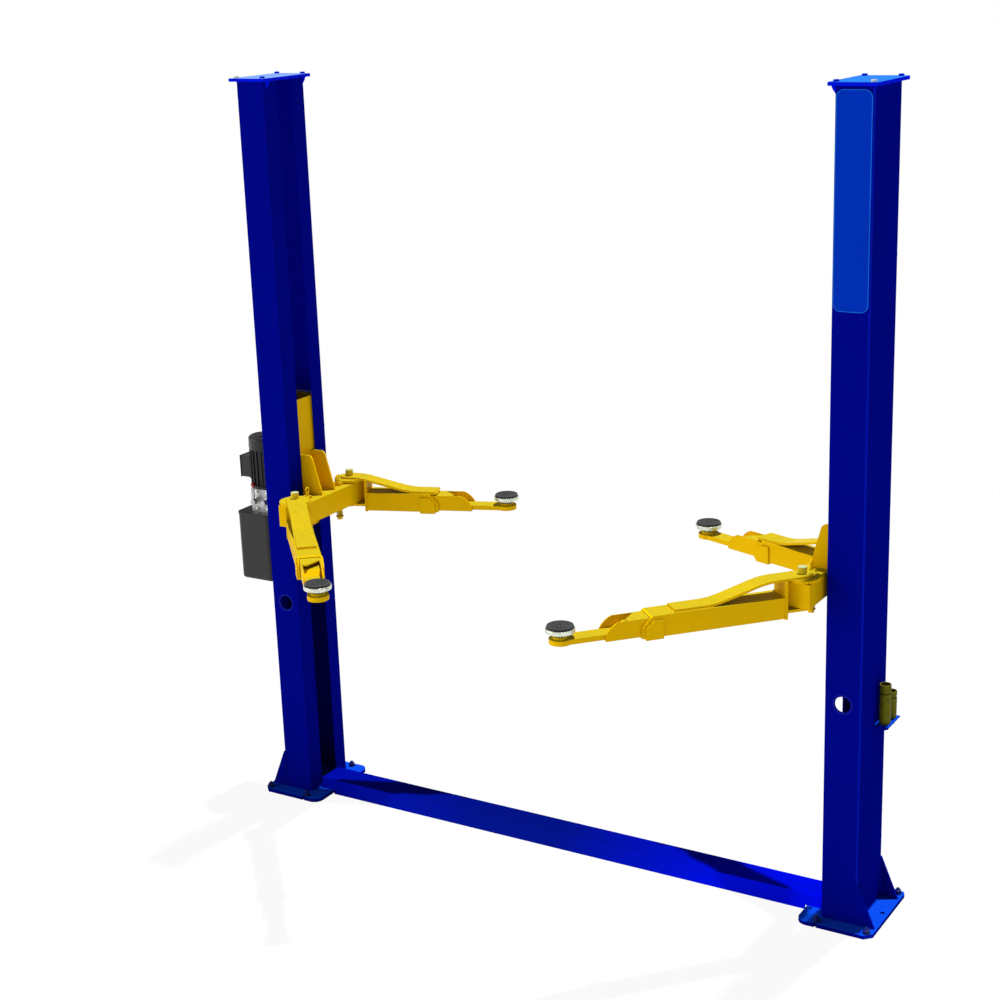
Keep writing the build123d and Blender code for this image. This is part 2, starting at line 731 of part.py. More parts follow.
def place(shape, rear):
    """Turns a piece drawn along X from its pin to its place on the right carriage."""
    angle = 180 - REAR_ANGLE if rear else 180 + FRONT_ANGLE
    y = PIN_SPREAD if rear else -PIN_SPREAD
    return Pos(pin_x, y, 0) * Rot(0, 0, angle) * shape


def write(name, shapes):
    """Writes one node."""
    solids = shapes if isinstance(shapes, list) else [shapes]
    whole = Compound(children=solids) if len(solids) > 1 else solids[0]
    export_step(whole, f"parts/{name}.step")


def flipped(shapes):
    """The left hand twin of a piece or list of pieces on the right."""
    if isinstance(shapes, list):
        return [mirror(shape, about=Plane.YZ) for shape in shapes]
    return mirror(shapes, about=Plane.YZ)


def write_pair(name, shapes):
    """Writes the right hand node and its left hand twin."""
    write(f"right_{name}", shapes)
    write(f"left_{name}", flipped(shapes))


def write_arms():
    """Writes the four arms with their stages, pads and locks."""
    kinds = {
        "front": (FRONT_ARM, FRONT_STRAP, FRONT_STAGE_START, FRONT_STAGE_END, FRONT_TIP_START, FRONT_REACH),
        "rear": (REAR_ARM, REAR_STRAP, REAR_STAGE_START, REAR_STAGE_END, REAR_TIP_START, REAR_REACH),
    }
    for kind, (length, shape, stage_start, stage_end, tip_start, reach) in kinds.items():
        rear = kind == "rear"
        guide = stage_end - GUIDE_BACKSET
        write_pair(f"{kind}_arm", place(outer_arm(length, shape), rear))
        write_pair(f"{kind}_mid_stage", place(mid_stage(stage_start, stage_end), rear))
        write_pair(f"{kind}_tip_stage", place(tip_stage(tip_start, guide, reach), rear))
        write_pair(f"{kind}_pad_screw", place(pad_screw(reach), rear))
        write_pair(f"{kind}_pad", place(pad_rubber(reach), rear))
        lock = arm_lock()
        write_pair(f"{kind}_arm_lock", mirror(lock, about=Plane.XZ) if rear else lock)


def main():
    os.makedirs("parts", exist_ok=True)
    write_pair("column", column())
    write_pair("cap_plate", cap_plate())
    write_pair("base_plate", base_plate())
    write_pair("base_gussets", gussets())
    anchors = [anchor(x, y) for x, y in anchor_places()]
    write("anchor_bolts", anchors + flipped(anchors))
    write("floor_cover", floor_cover())
    write("sign_panel", sign_panel())
    write_pair("adapter_rack", adapter_rack())
    heights = (SLEEVE_TALL, SHORT_SLEEVE)
    write_pair("adapter_sleeves", [
        adapter_sleeve(x, y, height) for (x, y), height in zip(sleeve_places(), heights)
    ])
    write_pair("lift_cylinder", lift_cylinder())
    write("pump_block", flipped(pump_block()))
    write("oil_tank", flipped(oil_tank()))
    write("motor", flipped(motor()))
    write_pair("carriage_frame", carriage_frame())
    write_pair("slide_blocks", slide_blocks())
    write_pair("arm_bracket", arm_bracket())
    write_pair("arm_pins", arm_pins())
    write_arms()


main()
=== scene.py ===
import json
from math import cos, pi, radians

import bpy
from mathutils import Matrix, Vector


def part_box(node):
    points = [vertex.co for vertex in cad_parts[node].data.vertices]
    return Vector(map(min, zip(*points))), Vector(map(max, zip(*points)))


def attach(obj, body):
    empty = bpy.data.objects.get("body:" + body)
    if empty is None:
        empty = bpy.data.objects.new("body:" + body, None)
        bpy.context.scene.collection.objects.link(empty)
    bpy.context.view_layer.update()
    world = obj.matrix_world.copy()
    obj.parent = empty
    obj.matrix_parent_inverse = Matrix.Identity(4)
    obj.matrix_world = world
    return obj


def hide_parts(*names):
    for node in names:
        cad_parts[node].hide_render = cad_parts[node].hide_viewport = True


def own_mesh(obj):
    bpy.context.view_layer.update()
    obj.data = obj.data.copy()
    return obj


bl_info = {
    "name": "Two post car lift",
    "version": (1, 0, 0),
    "blender": (4, 5, 0),
    "location": "View3D > Sidebar > Car lift",
    "description": "Adds paint, welds, bolts, pads and power unit details to the car lift",
    "category": "Object",
}

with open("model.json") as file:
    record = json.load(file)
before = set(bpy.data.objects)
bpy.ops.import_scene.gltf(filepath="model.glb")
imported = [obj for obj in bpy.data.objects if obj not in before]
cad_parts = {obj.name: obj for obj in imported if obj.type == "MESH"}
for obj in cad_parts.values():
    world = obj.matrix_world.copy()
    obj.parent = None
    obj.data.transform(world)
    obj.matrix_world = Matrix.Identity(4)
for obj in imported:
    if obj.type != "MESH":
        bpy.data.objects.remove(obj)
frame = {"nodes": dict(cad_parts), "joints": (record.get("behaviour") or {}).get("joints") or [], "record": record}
NODES = frame["nodes"]
JOINTS = {joint["name"]: joint for joint in frame["joints"]}
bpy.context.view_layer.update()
KINDS = ("front", "rear")
MM = 0.001
WHITE = (1, 1, 1, 1)


# Selection and finishing helpers

def clear_selection():
    """Leaves edit mode and selects nothing."""
    if bpy.context.object and bpy.context.object.mode != "OBJECT":
        bpy.ops.object.mode_set(mode="OBJECT")
    bpy.ops.object.select_all(action="DESELECT")


def only(piece):
    """Selects one object and makes it active."""
    clear_selection()
    piece.select_set(True)
    bpy.context.view_layer.objects.active = piece


def settle(piece):
    """Puts the place, turn and scale of an object into its mesh."""
    only(piece)
    bpy.ops.object.transform_apply(location=True, rotation=True, scale=True)


def carry(piece, matrix):
    """Moves a mesh drawn about the origin to its place in the frame."""
    settle(piece)
    piece.matrix_world = matrix
    settle(piece)
    if matrix.determinant() < 0:
        edit(piece)
        bpy.ops.mesh.select_all(action="SELECT")
        bpy.ops.mesh.normals_make_consistent(inside=False)
        bpy.ops.object.mode_set(mode="OBJECT")
    return piece


def edit(piece, kind="FACE"):
    """Opens one object in edit mode with nothing selected."""
    only(piece)
    bpy.ops.object.mode_set(mode="EDIT")
    bpy.ops.mesh.select_mode(type=kind)
    bpy.ops.mesh.select_all(action="DESELECT")


def pick_faces(piece, test):
    """Selects the faces that pass a test on their centre and normal, in edit mode."""
    bpy.ops.object.mode_set(mode="OBJECT")
    for face in piece.data.polygons:
        face.select = bool(test(face.center, face.normal))
    bpy.ops.object.mode_set(mode="EDIT")


def use(piece, kind, **settings):
    """Adds a modifier and applies it."""
    only(piece)
    bpy.ops.object.modifier_add(type=kind)
    modifier = piece.modifiers[-1]
    for name, value in settings.items():
        setattr(modifier, name, value)
    bpy.ops.object.modifier_apply(modifier=modifier.name)


def join(pieces):
    """Joins several objects into the first."""
    clear_selection()
    for piece in pieces:
        piece.select_set(True)
    bpy.context.view_layer.objects.active = pieces[0]
    if len(pieces) > 1:
        bpy.ops.object.join()
    return pieces[0]


def copy_of(piece):
    """A copy with its own mesh."""
    only(piece)
    bpy.ops.object.duplicate(linked=False)
    return bpy.context.object


def hand_over(piece, name, body, slot, smooth=30, stands_for=(), finish=""):
    """Names a finished piece, gives it its finish and lets it ride on its body."""
    settle(piece)
    piece.name = name
    piece.data.name = name
    only(piece)
    bpy.ops.object.shade_smooth_by_angle(angle=radians(smooth))
    piece.data.materials.clear()
    piece.data.materials.append(MATERIALS[finish or slot])
    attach(piece, body)
    if stands_for:
        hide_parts(*stands_for)
    return piece


# Primitives, sized in millimetres about the origin

def drum(radius, length, sides, at):
    """An upright bar centred on a point."""
    clear_selection()
    bpy.ops.mesh.primitive_cylinder_add(
        vertices=sides, radius=radius * MM, depth=length * MM, location=[value * MM for value in at]
    )
    piece = bpy.context.object
    settle(piece)
    return piece


def brick(size, at, edge, steps=2):
    """A box with rounded edges, centred on a point."""
    clear_selection()
    bpy.ops.mesh.primitive_cube_add(size=1, location=[value * MM for value in at])
    piece = bpy.context.object
    piece.scale = [value * MM for value in size]
    settle(piece)
    edit(piece, "EDGE")
    bpy.ops.mesh.select_all(action="SELECT")
    bpy.ops.mesh.bevel(offset=edge * MM, segments=steps)
    bpy.ops.object.mode_set(mode="OBJECT")
    return piece


def hex_bolt(across, height, washer=0.0, washer_height=0.0):
    """A hexagon head with a raised crown, standing along Z on its washer if it has one."""
    radius = across / 2 / cos(pi / 6)
    head = drum(radius, height, 6, (0, 0, washer_height + height / 2))
    edit(head)
    pick_faces(head, lambda centre, normal: normal.z > 0.9)
    bpy.ops.mesh.inset(thickness=radius * 0.13 * MM, depth=0)
    bpy.ops.transform.translate(value=(0, 0, radius * 0.07 * MM))
    bpy.ops.object.mode_set(mode="OBJECT")
    parts = [head]
    if washer:
        ring = drum(washer, washer_height, 28, (0, 0, washer_height / 2))
        edit(ring)
        pick_faces(ring, lambda centre, normal: normal.z > 0.9)
        bpy.ops.mesh.inset(thickness=0.6 * MM, depth=0)
        bpy.ops.object.mode_set(mode="OBJECT")
        parts.append(ring)
    return join(parts)


def weld_bead(start, end, width):
    """A row of overlapping ripples along a straight seam, in millimetres."""
    first, last = Vector(start), Vector(end)
    length = (last - first).length
    pitch = width * 0.55
    count = max(2, int(length / pitch))
    clear_selection()
    bpy.ops.mesh.primitive_uv_sphere_add(segments=8, ring_count=6, radius=width / 2 * MM)
    bead = bpy.context.object
    bead.scale = (0.95, 1, 0.9)
    settle(bead)
    use(
        bead, "ARRAY", count=count, use_relative_offset=False, use_constant_offset=True,
        constant_offset_displace=(length / (count - 1) * MM, 0, 0),
    )
    turn = Vector((1, 0, 0)).rotation_difference(last - first).to_matrix().to_4x4()
    bead.matrix_world = Matrix.Translation(first * MM) @ turn
    settle(bead)
    return bead


def weld(seams, width):
    """Weld beads along several seams, joined."""
    return join([weld_bead(start, end, width) for start, end in seams])


def spun(profile, steps):
    """A turned piece: radius and height pairs in millimetres, spun about Z."""
    clear_selection()
    radius, height = profile[0]
    bpy.ops.mesh.primitive_circle_add(
        vertices=3, radius=0.0005, location=(radius * MM, 0, height * MM)
    )
    piece = bpy.context.object
    settle(piece)
    edit(piece, "VERT")
    bpy.ops.mesh.select_all(action="SELECT")
    bpy.ops.mesh.merge(type="CENTER")
    for before, after in zip(profile, profile[1:]):
        move = ((after[0] - before[0]) * MM, 0, (after[1] - before[1]) * MM)
        bpy.ops.mesh.extrude_region_move(TRANSFORM_OT_translate={"value": move})
    bpy.ops.mesh.select_all(action="SELECT")
    bpy.ops.mesh.spin(steps=steps, angle=2 * pi, center=(0, 0, 0), axis=(0, 0, 1))
    bpy.ops.mesh.select_all(action="SELECT")
    bpy.ops.mesh.remove_doubles(threshold=0.00002)
    bpy.ops.mesh.normals_make_consistent(inside=False)
    bpy.ops.object.mode_set(mode="OBJECT")
    return piece


def threads(radius, low, high, pitch, depth):
    """Profile points of a thread between two heights."""
    points = []
    for turn in range(int((high - low) / pitch)):
        foot = low + turn * pitch
        points += [
            (radius - depth, foot), (radius - depth, foot + 0.2 * pitch),
            (radius, foot + 0.45 * pitch), (radius, foot + 0.7 * pitch),
        ]
    return points + [(radius - depth, low + (turn + 1) * pitch)]


def screw_head(radius, height):
    """A round screw head with a sunk socket, standing on Z."""
    return spun([
        (0, height * 0.45), (radius * 0.42, height * 0.45), (radius * 0.48, height),
        (radius * 0.75, height), (radius, height * 0.6), (radius, 0), (0, 0),
    ], 20)


def rounded_ring(width, height, corner, border, thickness):
    """A flat frame with rounded corners, raised along Z."""
    clear_selection()
    bpy.ops.mesh.primitive_plane_add(size=1)
    ring = bpy.context.object
    ring.scale = (width * MM, height * MM, 1)
    settle(ring)
    edit(ring, "VERT")
    bpy.ops.mesh.select_all(action="SELECT")
    bpy.ops.mesh.bevel(offset=corner * MM, segments=8, affect="VERTICES")
    bpy.ops.mesh.select_mode(type="FACE")
    bpy.ops.mesh.select_all(action="SELECT")
    bpy.ops.mesh.inset(thickness=border * MM, depth=0)
    bpy.ops.mesh.delete(type="FACE")
    bpy.ops.mesh.select_all(action="SELECT")
    bpy.ops.mesh.extrude_region_move(TRANSFORM_OT_translate={"value": (0, 0, thickness * MM)})
    bpy.ops.mesh.select_all(action="SELECT")
    bpy.ops.mesh.normals_make_consistent(inside=False)
    bpy.ops.object.mode_set(mode="OBJECT")
    return ring


def spring(radius, wire, height, turns):
    """A coil of round wire standing on Z."""
    clear_selection()
    bpy.ops.mesh.primitive_circle_add(
        vertices=8, radius=wire * MM, location=(radius * MM, 0, 0), rotation=(pi / 2, 0, 0)
    )
    coil = bpy.context.object
    settle(coil)
    use(
        coil, "SCREW", axis="Z", angle=2 * pi, steps=20, render_steps=20, iterations=turns,
        screw_offset=height / turns * MM,
    )
    edit(coil, "VERT")
    bpy.ops.mesh.select_all(action="SELECT")
    bpy.ops.mesh.fill_holes(sides=10)
    bpy.ops.mesh.normals_make_consistent(inside=False)
    bpy.ops.object.mode_set(mode="OBJECT")
    return coil


# Materials

def scaled(colour, share):
    """A colour with each value times a share."""
    return tuple(value * share for value in colour)


def new_material(name):
    """An empty material with a principled shader."""
    material = bpy.data.materials.new(name)
    material.use_nodes = True
    tree = material.node_tree
    shader = tree.nodes["Principled BSDF"]
    return material, tree, shader


def add_node(tree, kind, **settings):
    """Adds a shader node with its settings."""
    node = tree.nodes.new(kind)
    for name, value in settings.items():
        if name in node.inputs:
            node.inputs[name].default_value = value
        else:
            setattr(node, name, value)
    return node


def object_noise(tree, scale, detail=3.0, stretch=(1, 1, 1)):
    """Noise on the object's own coordinates."""
    place = add_node(tree, "ShaderNodeTexCoord")
    mapping = add_node(tree, "ShaderNodeMapping")
    mapping.inputs["Scale"].default_value = stretch
    noise = add_node(tree, "ShaderNodeTexNoise", Scale=scale, Detail=detail)
    tree.links.new(place.outputs["Object"], mapping.inputs["Vector"])
    tree.links.new(mapping.outputs["Vector"], noise.inputs["Vector"])
    return noise


def spread(tree, source, low, high, start=0.3, stop=0.7):
    """Maps a noise value onto a range."""
    ranges = add_node(tree, "ShaderNodeMapRange")
    ranges.inputs["From Min"].default_value = start
    ranges.inputs["From Max"].default_value = stop
    ranges.inputs["To Min"].default_value = low
    ranges.inputs["To Max"].default_value = high
    tree.links.new(source, ranges.inputs["Value"])
    return ranges.outputs["Result"]


def surface_bump(tree, shader, source, strength, distance, edge=0.0):
    """Bump over rounded edges."""
    bump = add_node(tree, "ShaderNodeBump", Strength=strength, Distance=distance)
    tree.links.new(source, bump.inputs["Height"])
    if edge:
        rounded = add_node(tree, "ShaderNodeBevel", Radius=edge, samples=4)
        tree.links.new(rounded.outputs["Normal"], bump.inputs["Normal"])
    tree.links.new(bump.outputs["Normal"], shader.inputs["Normal"])


def parts_of(tree, source):
    """Splits a vector into its X, Y and Z."""
    split = add_node(tree, "ShaderNodeSeparateXYZ")
    tree.links.new(source, split.inputs[0])
    return split.outputs


def object_place(tree):
    """The X, Y and Z of a point in its object, which are the lift's own."""
    return parts_of(tree, add_node(tree, "ShaderNodeTexCoord").outputs["Object"])


def face_normal(tree):
    """The X, Y and Z of a face's normal."""
    return parts_of(tree, add_node(tree, "ShaderNodeNewGeometry").outputs["Normal"])


def painted(material):
    """The tree, the shader and the colour socket of a painted material."""
    shader = material.node_tree.nodes["Principled BSDF"]
    return material.node_tree, shader, shader.inputs["Base Color"].links[0].from_socket


def blend_colours(tree, below, above, share):
    """Mixes two colour sockets or colours by a value."""
    mix = add_node(tree, "ShaderNodeMix", data_type="RGBA")
    for index, colour in ((6, below), (7, above)):
        if isinstance(colour, tuple):
            mix.inputs[index].default_value = (*colour, 1)
        else:
            tree.links.new(colour, mix.inputs[index])
    tree.links.new(share, mix.inputs[0])
    return mix.outputs[2]


def blotched(tree, colour, shade, scale, detail):
    """Two shades of a colour, mixed in soft blotches."""
    blotches = object_noise(tree, scale, detail).outputs[0]
    return blend_colours(tree, colour, shade, spread(tree, blotches, 0.0, 1.0))


def math(tree, operation, first, second=0.0):
    """A sum, product or the like of two sockets or numbers."""
    node = add_node(tree, "ShaderNodeMath", operation=operation)
    for index, value in enumerate((first, second)):
        if isinstance(value, (int, float)):
            node.inputs[index].default_value = value
        else:
            tree.links.new(value, node.inputs[index])
    return node.outputs[0]


def gloss_paint(name, colour, shade, gloss=0.0, edge=0.0025, top=None):
    """Sprayed enamel: slight mottling, orange peel, soft edges and, when a top colour is given, painted sunlight
    that makes the faces pointing up paler.
    """
    material, tree, shader = new_material(name)
    paint = blotched(tree, colour, shade, 3.5, 4.0)
    if top:
        # Painted sunlight: faces that point up take the top colour, in patches set by a fine noise.
        up = spread(tree, face_normal(tree)[2], 0.0, 1.0, 0.72, 0.99)
        top_light_patches = spread(tree, object_noise(tree, 55.0, 5.0).outputs[0], 0.82, 1.0)
        paint = blend_colours(tree, paint, top, math(tree, "MULTIPLY", up, top_light_patches))
    tree.links.new(paint, shader.inputs["Base Color"])
    rough = spread(tree, object_noise(tree, 40.0, 3.0).outputs[0], 0.3, 0.42)
    tree.links.new(rough, shader.inputs["Roughness"])
    shader.inputs["Specular IOR Level"].default_value = gloss
    peel = object_noise(tree, 220.0, 2.0).outputs[0]
    surface_bump(tree, shader, peel, 0.05, 0.0006, edge)
    return material


def plated_steel(name, colour, shade, roughness=0.32, edge=0.0008, metal=0.9, gloss=0.5):
    """Plated steel with fine brushing and blotches."""
    material, tree, shader = new_material(name)
    tree.links.new(blotched(tree, colour, shade, 45.0, 4.0), shader.inputs["Base Color"])
    shader.inputs["Metallic"].default_value = metal
    shader.inputs["Specular IOR Level"].default_value = gloss
    lines = object_noise(tree, 90.0, 4.0, (1, 1, 9)).outputs[0]
    rough = spread(tree, lines, roughness * 0.7, roughness * 1.4)
    tree.links.new(rough, shader.inputs["Roughness"])
    surface_bump(tree, shader, lines, 0.12, 0.0006, edge)
    return material


def moulded(name, colour, shade, roughness):
    """Rubber or plastic with a fine grain."""
    material, tree, shader = new_material(name)
    tree.links.new(blotched(tree, colour, shade, 18.0, 5.0), shader.inputs["Base Color"])
    fine = object_noise(tree, 320.0, 3.0).outputs[0]
    rough = spread(tree, fine, roughness * 0.9, min(1.0, roughness * 1.15))
    tree.links.new(rough, shader.inputs["Roughness"])
    surface_bump(tree, shader, fine, 0.25, 0.0008, 0.001)
    return material


def post_paint(name, colour, shade, top, bend_highlight, inside):
    """Post enamel with painted sunlight on the faces pointing up, a painted highlight on the bends and sloped
    edges of the right post's outer half and painted light high inside the channel.
    """
    material = gloss_paint(name, colour, shade, top=top)
    tree, shader, paint = painted(material)
    place, across = object_place(tree), face_normal(tree)[0]
    # Painted highlight: faces that lean between X and another axis, on the outer half of the right post and its
    # base, take the lighter bend colour.
    square = math(tree, "MULTIPLY", across, across)
    slant = math(tree, "MULTIPLY", square, math(tree, "SUBTRACT", 1.0, square))
    slant = spread(tree, slant, 0.0, 1.0, 0.08, 0.2)
    near = math(tree, "GREATER_THAN", place[0], POST_MIDDLE * MM)
    paint = blend_colours(tree, paint, bend_highlight, math(tree, "MULTIPLY", slant, near))
    # Painted light: faces high inside each post's channel take the much lighter inside colour.
    wide = math(tree, "ABSOLUTE", place[0])
    deep = math(tree, "ABSOLUTE", place[1])
    lit_channel = math(tree, "LESS_THAN", deep, (POST_HALF - 5.5) * MM)
    for operation, limit in (("GREATER_THAN", POST_INNER + 2.5), ("LESS_THAN", POST_OUTER - 5.5)):
        lit_channel = math(tree, "MULTIPLY", lit_channel, math(tree, operation, wide, limit * MM))
    lit_channel = math(tree, "MULTIPLY", lit_channel, spread(tree, place[2], 0.0, 1.0, 1.2, 2.0))
    tree.links.new(blend_colours(tree, paint, inside, lit_channel), shader.inputs["Base Color"])
    return material


def cover_paint(name, left, middle, right, half):
    """Blue paint of the floor cover, with painted shade and light along it: darker in the middle, brightest at the
    right end, and darker on the faces pointing up.
    """
    material = gloss_paint(name, middle, middle)
    tree, shader, base = painted(material)
    along = object_place(tree)[0]
    # Painted shade and light: the colour runs from the left end through a darker middle to the bright right end; a
    # noise lets the plain middle colour through in patches.
    painted_shade_ramp = blend_colours(tree, left, middle, spread(tree, along, 0.0, 1.0, -half, -0.3 * half))
    painted_shade_ramp = blend_colours(tree, painted_shade_ramp, right, spread(tree, along, 0.0, 1.0, 0, 0.9 * half))
    scuff = spread(tree, object_noise(tree, 9.0, 6.0, (0.3, 1, 1)).outputs[0], 0.0, 0.3)
    paint = blend_colours(tree, painted_shade_ramp, base, scuff)
    # Painted shade: faces pointing up are darkened by up to about half.
    up = spread(tree, face_normal(tree)[2], 0.0, 0.52, 0.6, 0.99)
    tree.links.new(blend_colours(tree, paint, (0, 0, 0), up), shader.inputs["Base Color"])
    return material


def cylinder_paint(name, grey, chrome, low, high):
    """Grey paint below a gland, bright chrome between two heights and plain steel above."""
    material = gloss_paint(name, grey, scaled(grey, 1.2), 0.3)
    tree, shader, base = painted(material)
    height = object_place(tree)[2]
    above = spread(tree, height, 0.0, 1.0, low, low + 0.0005)
    tree.links.new(blend_colours(tree, base, chrome, above), shader.inputs["Base Color"])
    tree.links.new(above, shader.inputs["Metallic"])
    rough = spread(tree, height, 0.14, 0.4, high, high + 0.0005)
    tree.links.new(rough, shader.inputs["Roughness"])
    return material


MATERIALS = {}


# Places that repeat the part's own sizes, in millimetres

POST_INNER, POST_OUTER, POST_HALF = 1308, 1463, 145
POST_MIDDLE = (POST_INNER + POST_OUTER) / 2
BASE_TOP, BEND = 16, 12
ANCHORS_X, ANCHOR_Y = (POST_INNER, 1523), 188
HATCH, RACK_FOOT, TANK_TOP = 976, 845, 1385
COVER_HALF, GLAND_TOP, ROD_TOP = 1300, 1191, 1571
PIN_X, LOCK_Y = 1236, 119
BEAM_LOW, BEAM_TOP, BEAM_OUTER = 1403, 1503, 1290
ARM_LOW, TUBE_TOP, FORK_TOP, STRAP_LOW = 1370, 1456, 1400, 1518
ARMS = {
    "front": {"length": 690, "land": 385, "strap": 550},
    "rear": {"length": 440, "land": 300, "strap": 430},
}
MIRROR = Matrix.Diagonal((-1, 1, 1, 1))
FACE_FRONT = Matrix.Rotation(pi / 2, 4, "X")
FACE_BACK = Matrix.Rotation(-pi / 2, 4, "X")
FACE_RIGHT = Matrix.Rotation(pi / 2, 4, "Y")
FACE_LEFT = Matrix.Rotation(-pi / 2, 4, "Y")
FACE_DOWN = Matrix.Rotation(pi, 4, "X")


def slot_of(node):
    """The record's material slot of a node."""
    for row in frame["record"]["subparts"]:
        if row["node"] == node:
            return row["material_slot"]
    raise ValueError(f"no slot for {node}")


def spot(x, y, z):
    """A move to a point given in millimetres."""
    return Matrix.Translation((x * MM, y * MM, z * MM))


def arm_matrix(side, kind):
    """Takes a shape drawn along X from the arm pin, in metres, to its arm."""
    swing = JOINTS[f"{side}_{kind}_arm_swing"]
    along = Vector(JOINTS[f"{side}_{kind}_arm_extend"]["axis"]).normalized()
    across = Vector((0, 0, 1)).cross(along)
    pin = swing["pos_m"]
    turn = Matrix((along, across, Vector((0, 0, 1)))).transposed().to_4x4()
    return Matrix.Translation((pin[0], pin[1], 0)) @ turn


def pair(piece, name, body, slot, smooth=30, stands_for="", finish=""):
    """Hands over a piece of the right side and its mirrored twin on the left."""
    settle(piece)
    twin = carry(copy_of(piece), MIRROR)
    halves = []
    for side, half in (("right", piece), ("left", twin)):
        nodes = [stands_for.format(side=side)] if stands_for else []
        halves.append(hand_over(
            half, f"{side}_{name}", body.format(side=side), slot, smooth, nodes, finish
        ))
    return halves


class LiftPaint(bpy.types.PropertyGroup):
    """Colours of the lift's finishes."""

    post_blue: bpy.props.FloatVectorProperty(
        name="Post blue", description="Gloss enamel of the posts and base plates",
        subtype="COLOR", size=3, min=0, max=1, default=(0.0004, 0.0022, 0.22),
    )
    # Painted sunlight: the paler blue that faces pointing up take.
    sunlit_top_blue: bpy.props.FloatVectorProperty(
        name="Top blue", description="Paler blue of the surfaces that face up",
        subtype="COLOR", size=3, min=0, max=1, default=(0.0022, 0.044, 0.46),
    )
    # Painted sunlight on the top of the cap plates.
    cap_blue: bpy.props.FloatVectorProperty(
        name="Cap blue", description="Bright top of the cap plates",
        subtype="COLOR", size=3, min=0, max=1, default=(0.017, 0.13, 0.46),
    )
    arm_yellow: bpy.props.FloatVectorProperty(
        name="Arm yellow", description="Gloss enamel of the carriages and swing arms",
        subtype="COLOR", size=3, min=0, max=1, default=(0.76, 0.45, 0.0006),
    )
    # Painted sunlight: the colour that the arms' faces pointing up take.
    sunlit_top_yellow: bpy.props.FloatVectorProperty(
        name="Top yellow", description="Paler yellow of the surfaces that face up",
        subtype="COLOR", size=3, min=0, max=1, default=(0.32, 0.252, 0.007),
    )
    sign_blue: bpy.props.FloatVectorProperty(
        name="Board blue", description="Lighter enamel of the board on the right post",
        subtype="COLOR", size=3, min=0, max=1, default=(0.0006, 0.028, 0.42),
    )
    zinc: bpy.props.FloatVectorProperty(
        name="Zinc", description="Zinc plating of pins, bolts and pad cups",
        subtype="COLOR", size=3, min=0, max=1, default=(0.66, 0.7, 0.58),
    )
    olive_zinc: bpy.props.FloatVectorProperty(
        name="Olive zinc", description="Yellow passivated zinc of the pad sleeves",
        subtype="COLOR", size=3, min=0, max=1, default=(0.13, 0.125, 0.008),
    )
    pin_zinc: bpy.props.FloatVectorProperty(
        name="Pin zinc", description="Yellow passivated zinc of the arm pins",
        subtype="COLOR", size=3, min=0, max=1, default=(0.68, 0.5, 0.006),
    )


class LiftSizes(bpy.types.PropertyGroup):
    """Sizes of the small parts, in millimetres."""

    bolt_across: bpy.props.FloatProperty(
        name="Cap bolt", description="Size across the flats of the cap bolts",
        default=19.0, min=10.0, max=30.0,
    )
    weld_width: bpy.props.FloatProperty(
        name="Weld width", description="Width of the weld beads", default=7.0, min=3.0, max=14.0,
    )
    pad_groove: bpy.props.FloatProperty(
        name="Pad groove", description="Width of the grooves in the rubber pads",
        default=3.2, min=1.0, max=6.0,
    )
    tread_pitch: bpy.props.FloatProperty(
        name="Tread pitch", description="Distance between the raised marks of the floor cover",
        default=20.0, min=12.0, max=40.0,
    )
    thread_pitch: bpy.props.FloatProperty(
        name="Thread pitch", description="Pitch of the pad screws' thread",
        default=4.0, min=2.0, max=8.0,
    )


class LiftStudio(bpy.types.PropertyGroup):
    """The camera's place and lens and the light."""

    eye: bpy.props.FloatVectorProperty(
        name="Eye", description="Place of the camera", subtype="TRANSLATION", unit="LENGTH",
        size=3, default=(3.8266, -6.6506, 3.8952),
    )
    yaw: bpy.props.FloatProperty(
        name="Yaw", description="Turn of the camera away from straight back",
        subtype="ANGLE", default=0.5519,
    )
    pitch: bpy.props.FloatProperty(
        name="Pitch", description="How far the camera looks down",
        subtype="ANGLE", default=0.28799,
    )
    roll: bpy.props.FloatProperty(
        name="Roll", description="Tilt of the camera", subtype="ANGLE", default=-0.0353,
    )
    lens: bpy.props.FloatProperty(
        name="Lens", description="Focal length in millimetres on a 36 mm sensor", default=66.72,
    )
    sky: bpy.props.FloatProperty(
        name="Sky", description="Strength of the even light from all round", default=0.27,
    )
    sun: bpy.props.FloatProperty(
        name="Sun", description="Strength of the high light from behind", default=6.2,
    )
    sun_from: bpy.props.FloatVectorProperty(
        name="Sun direction", description="Where the high light comes from",
        subtype="DIRECTION", size=3, default=(0.03, 0.25, 0.965),
    )
    fill: bpy.props.FloatProperty(
        name="Fill", description="Strength of the soft light from the front left", default=2.05,
    )
    fill_from: bpy.props.FloatVectorProperty(
        name="Fill direction", description="Where the soft light comes from",
        subtype="DIRECTION", size=3, default=(-0.75, -0.6, 0.16),
    )


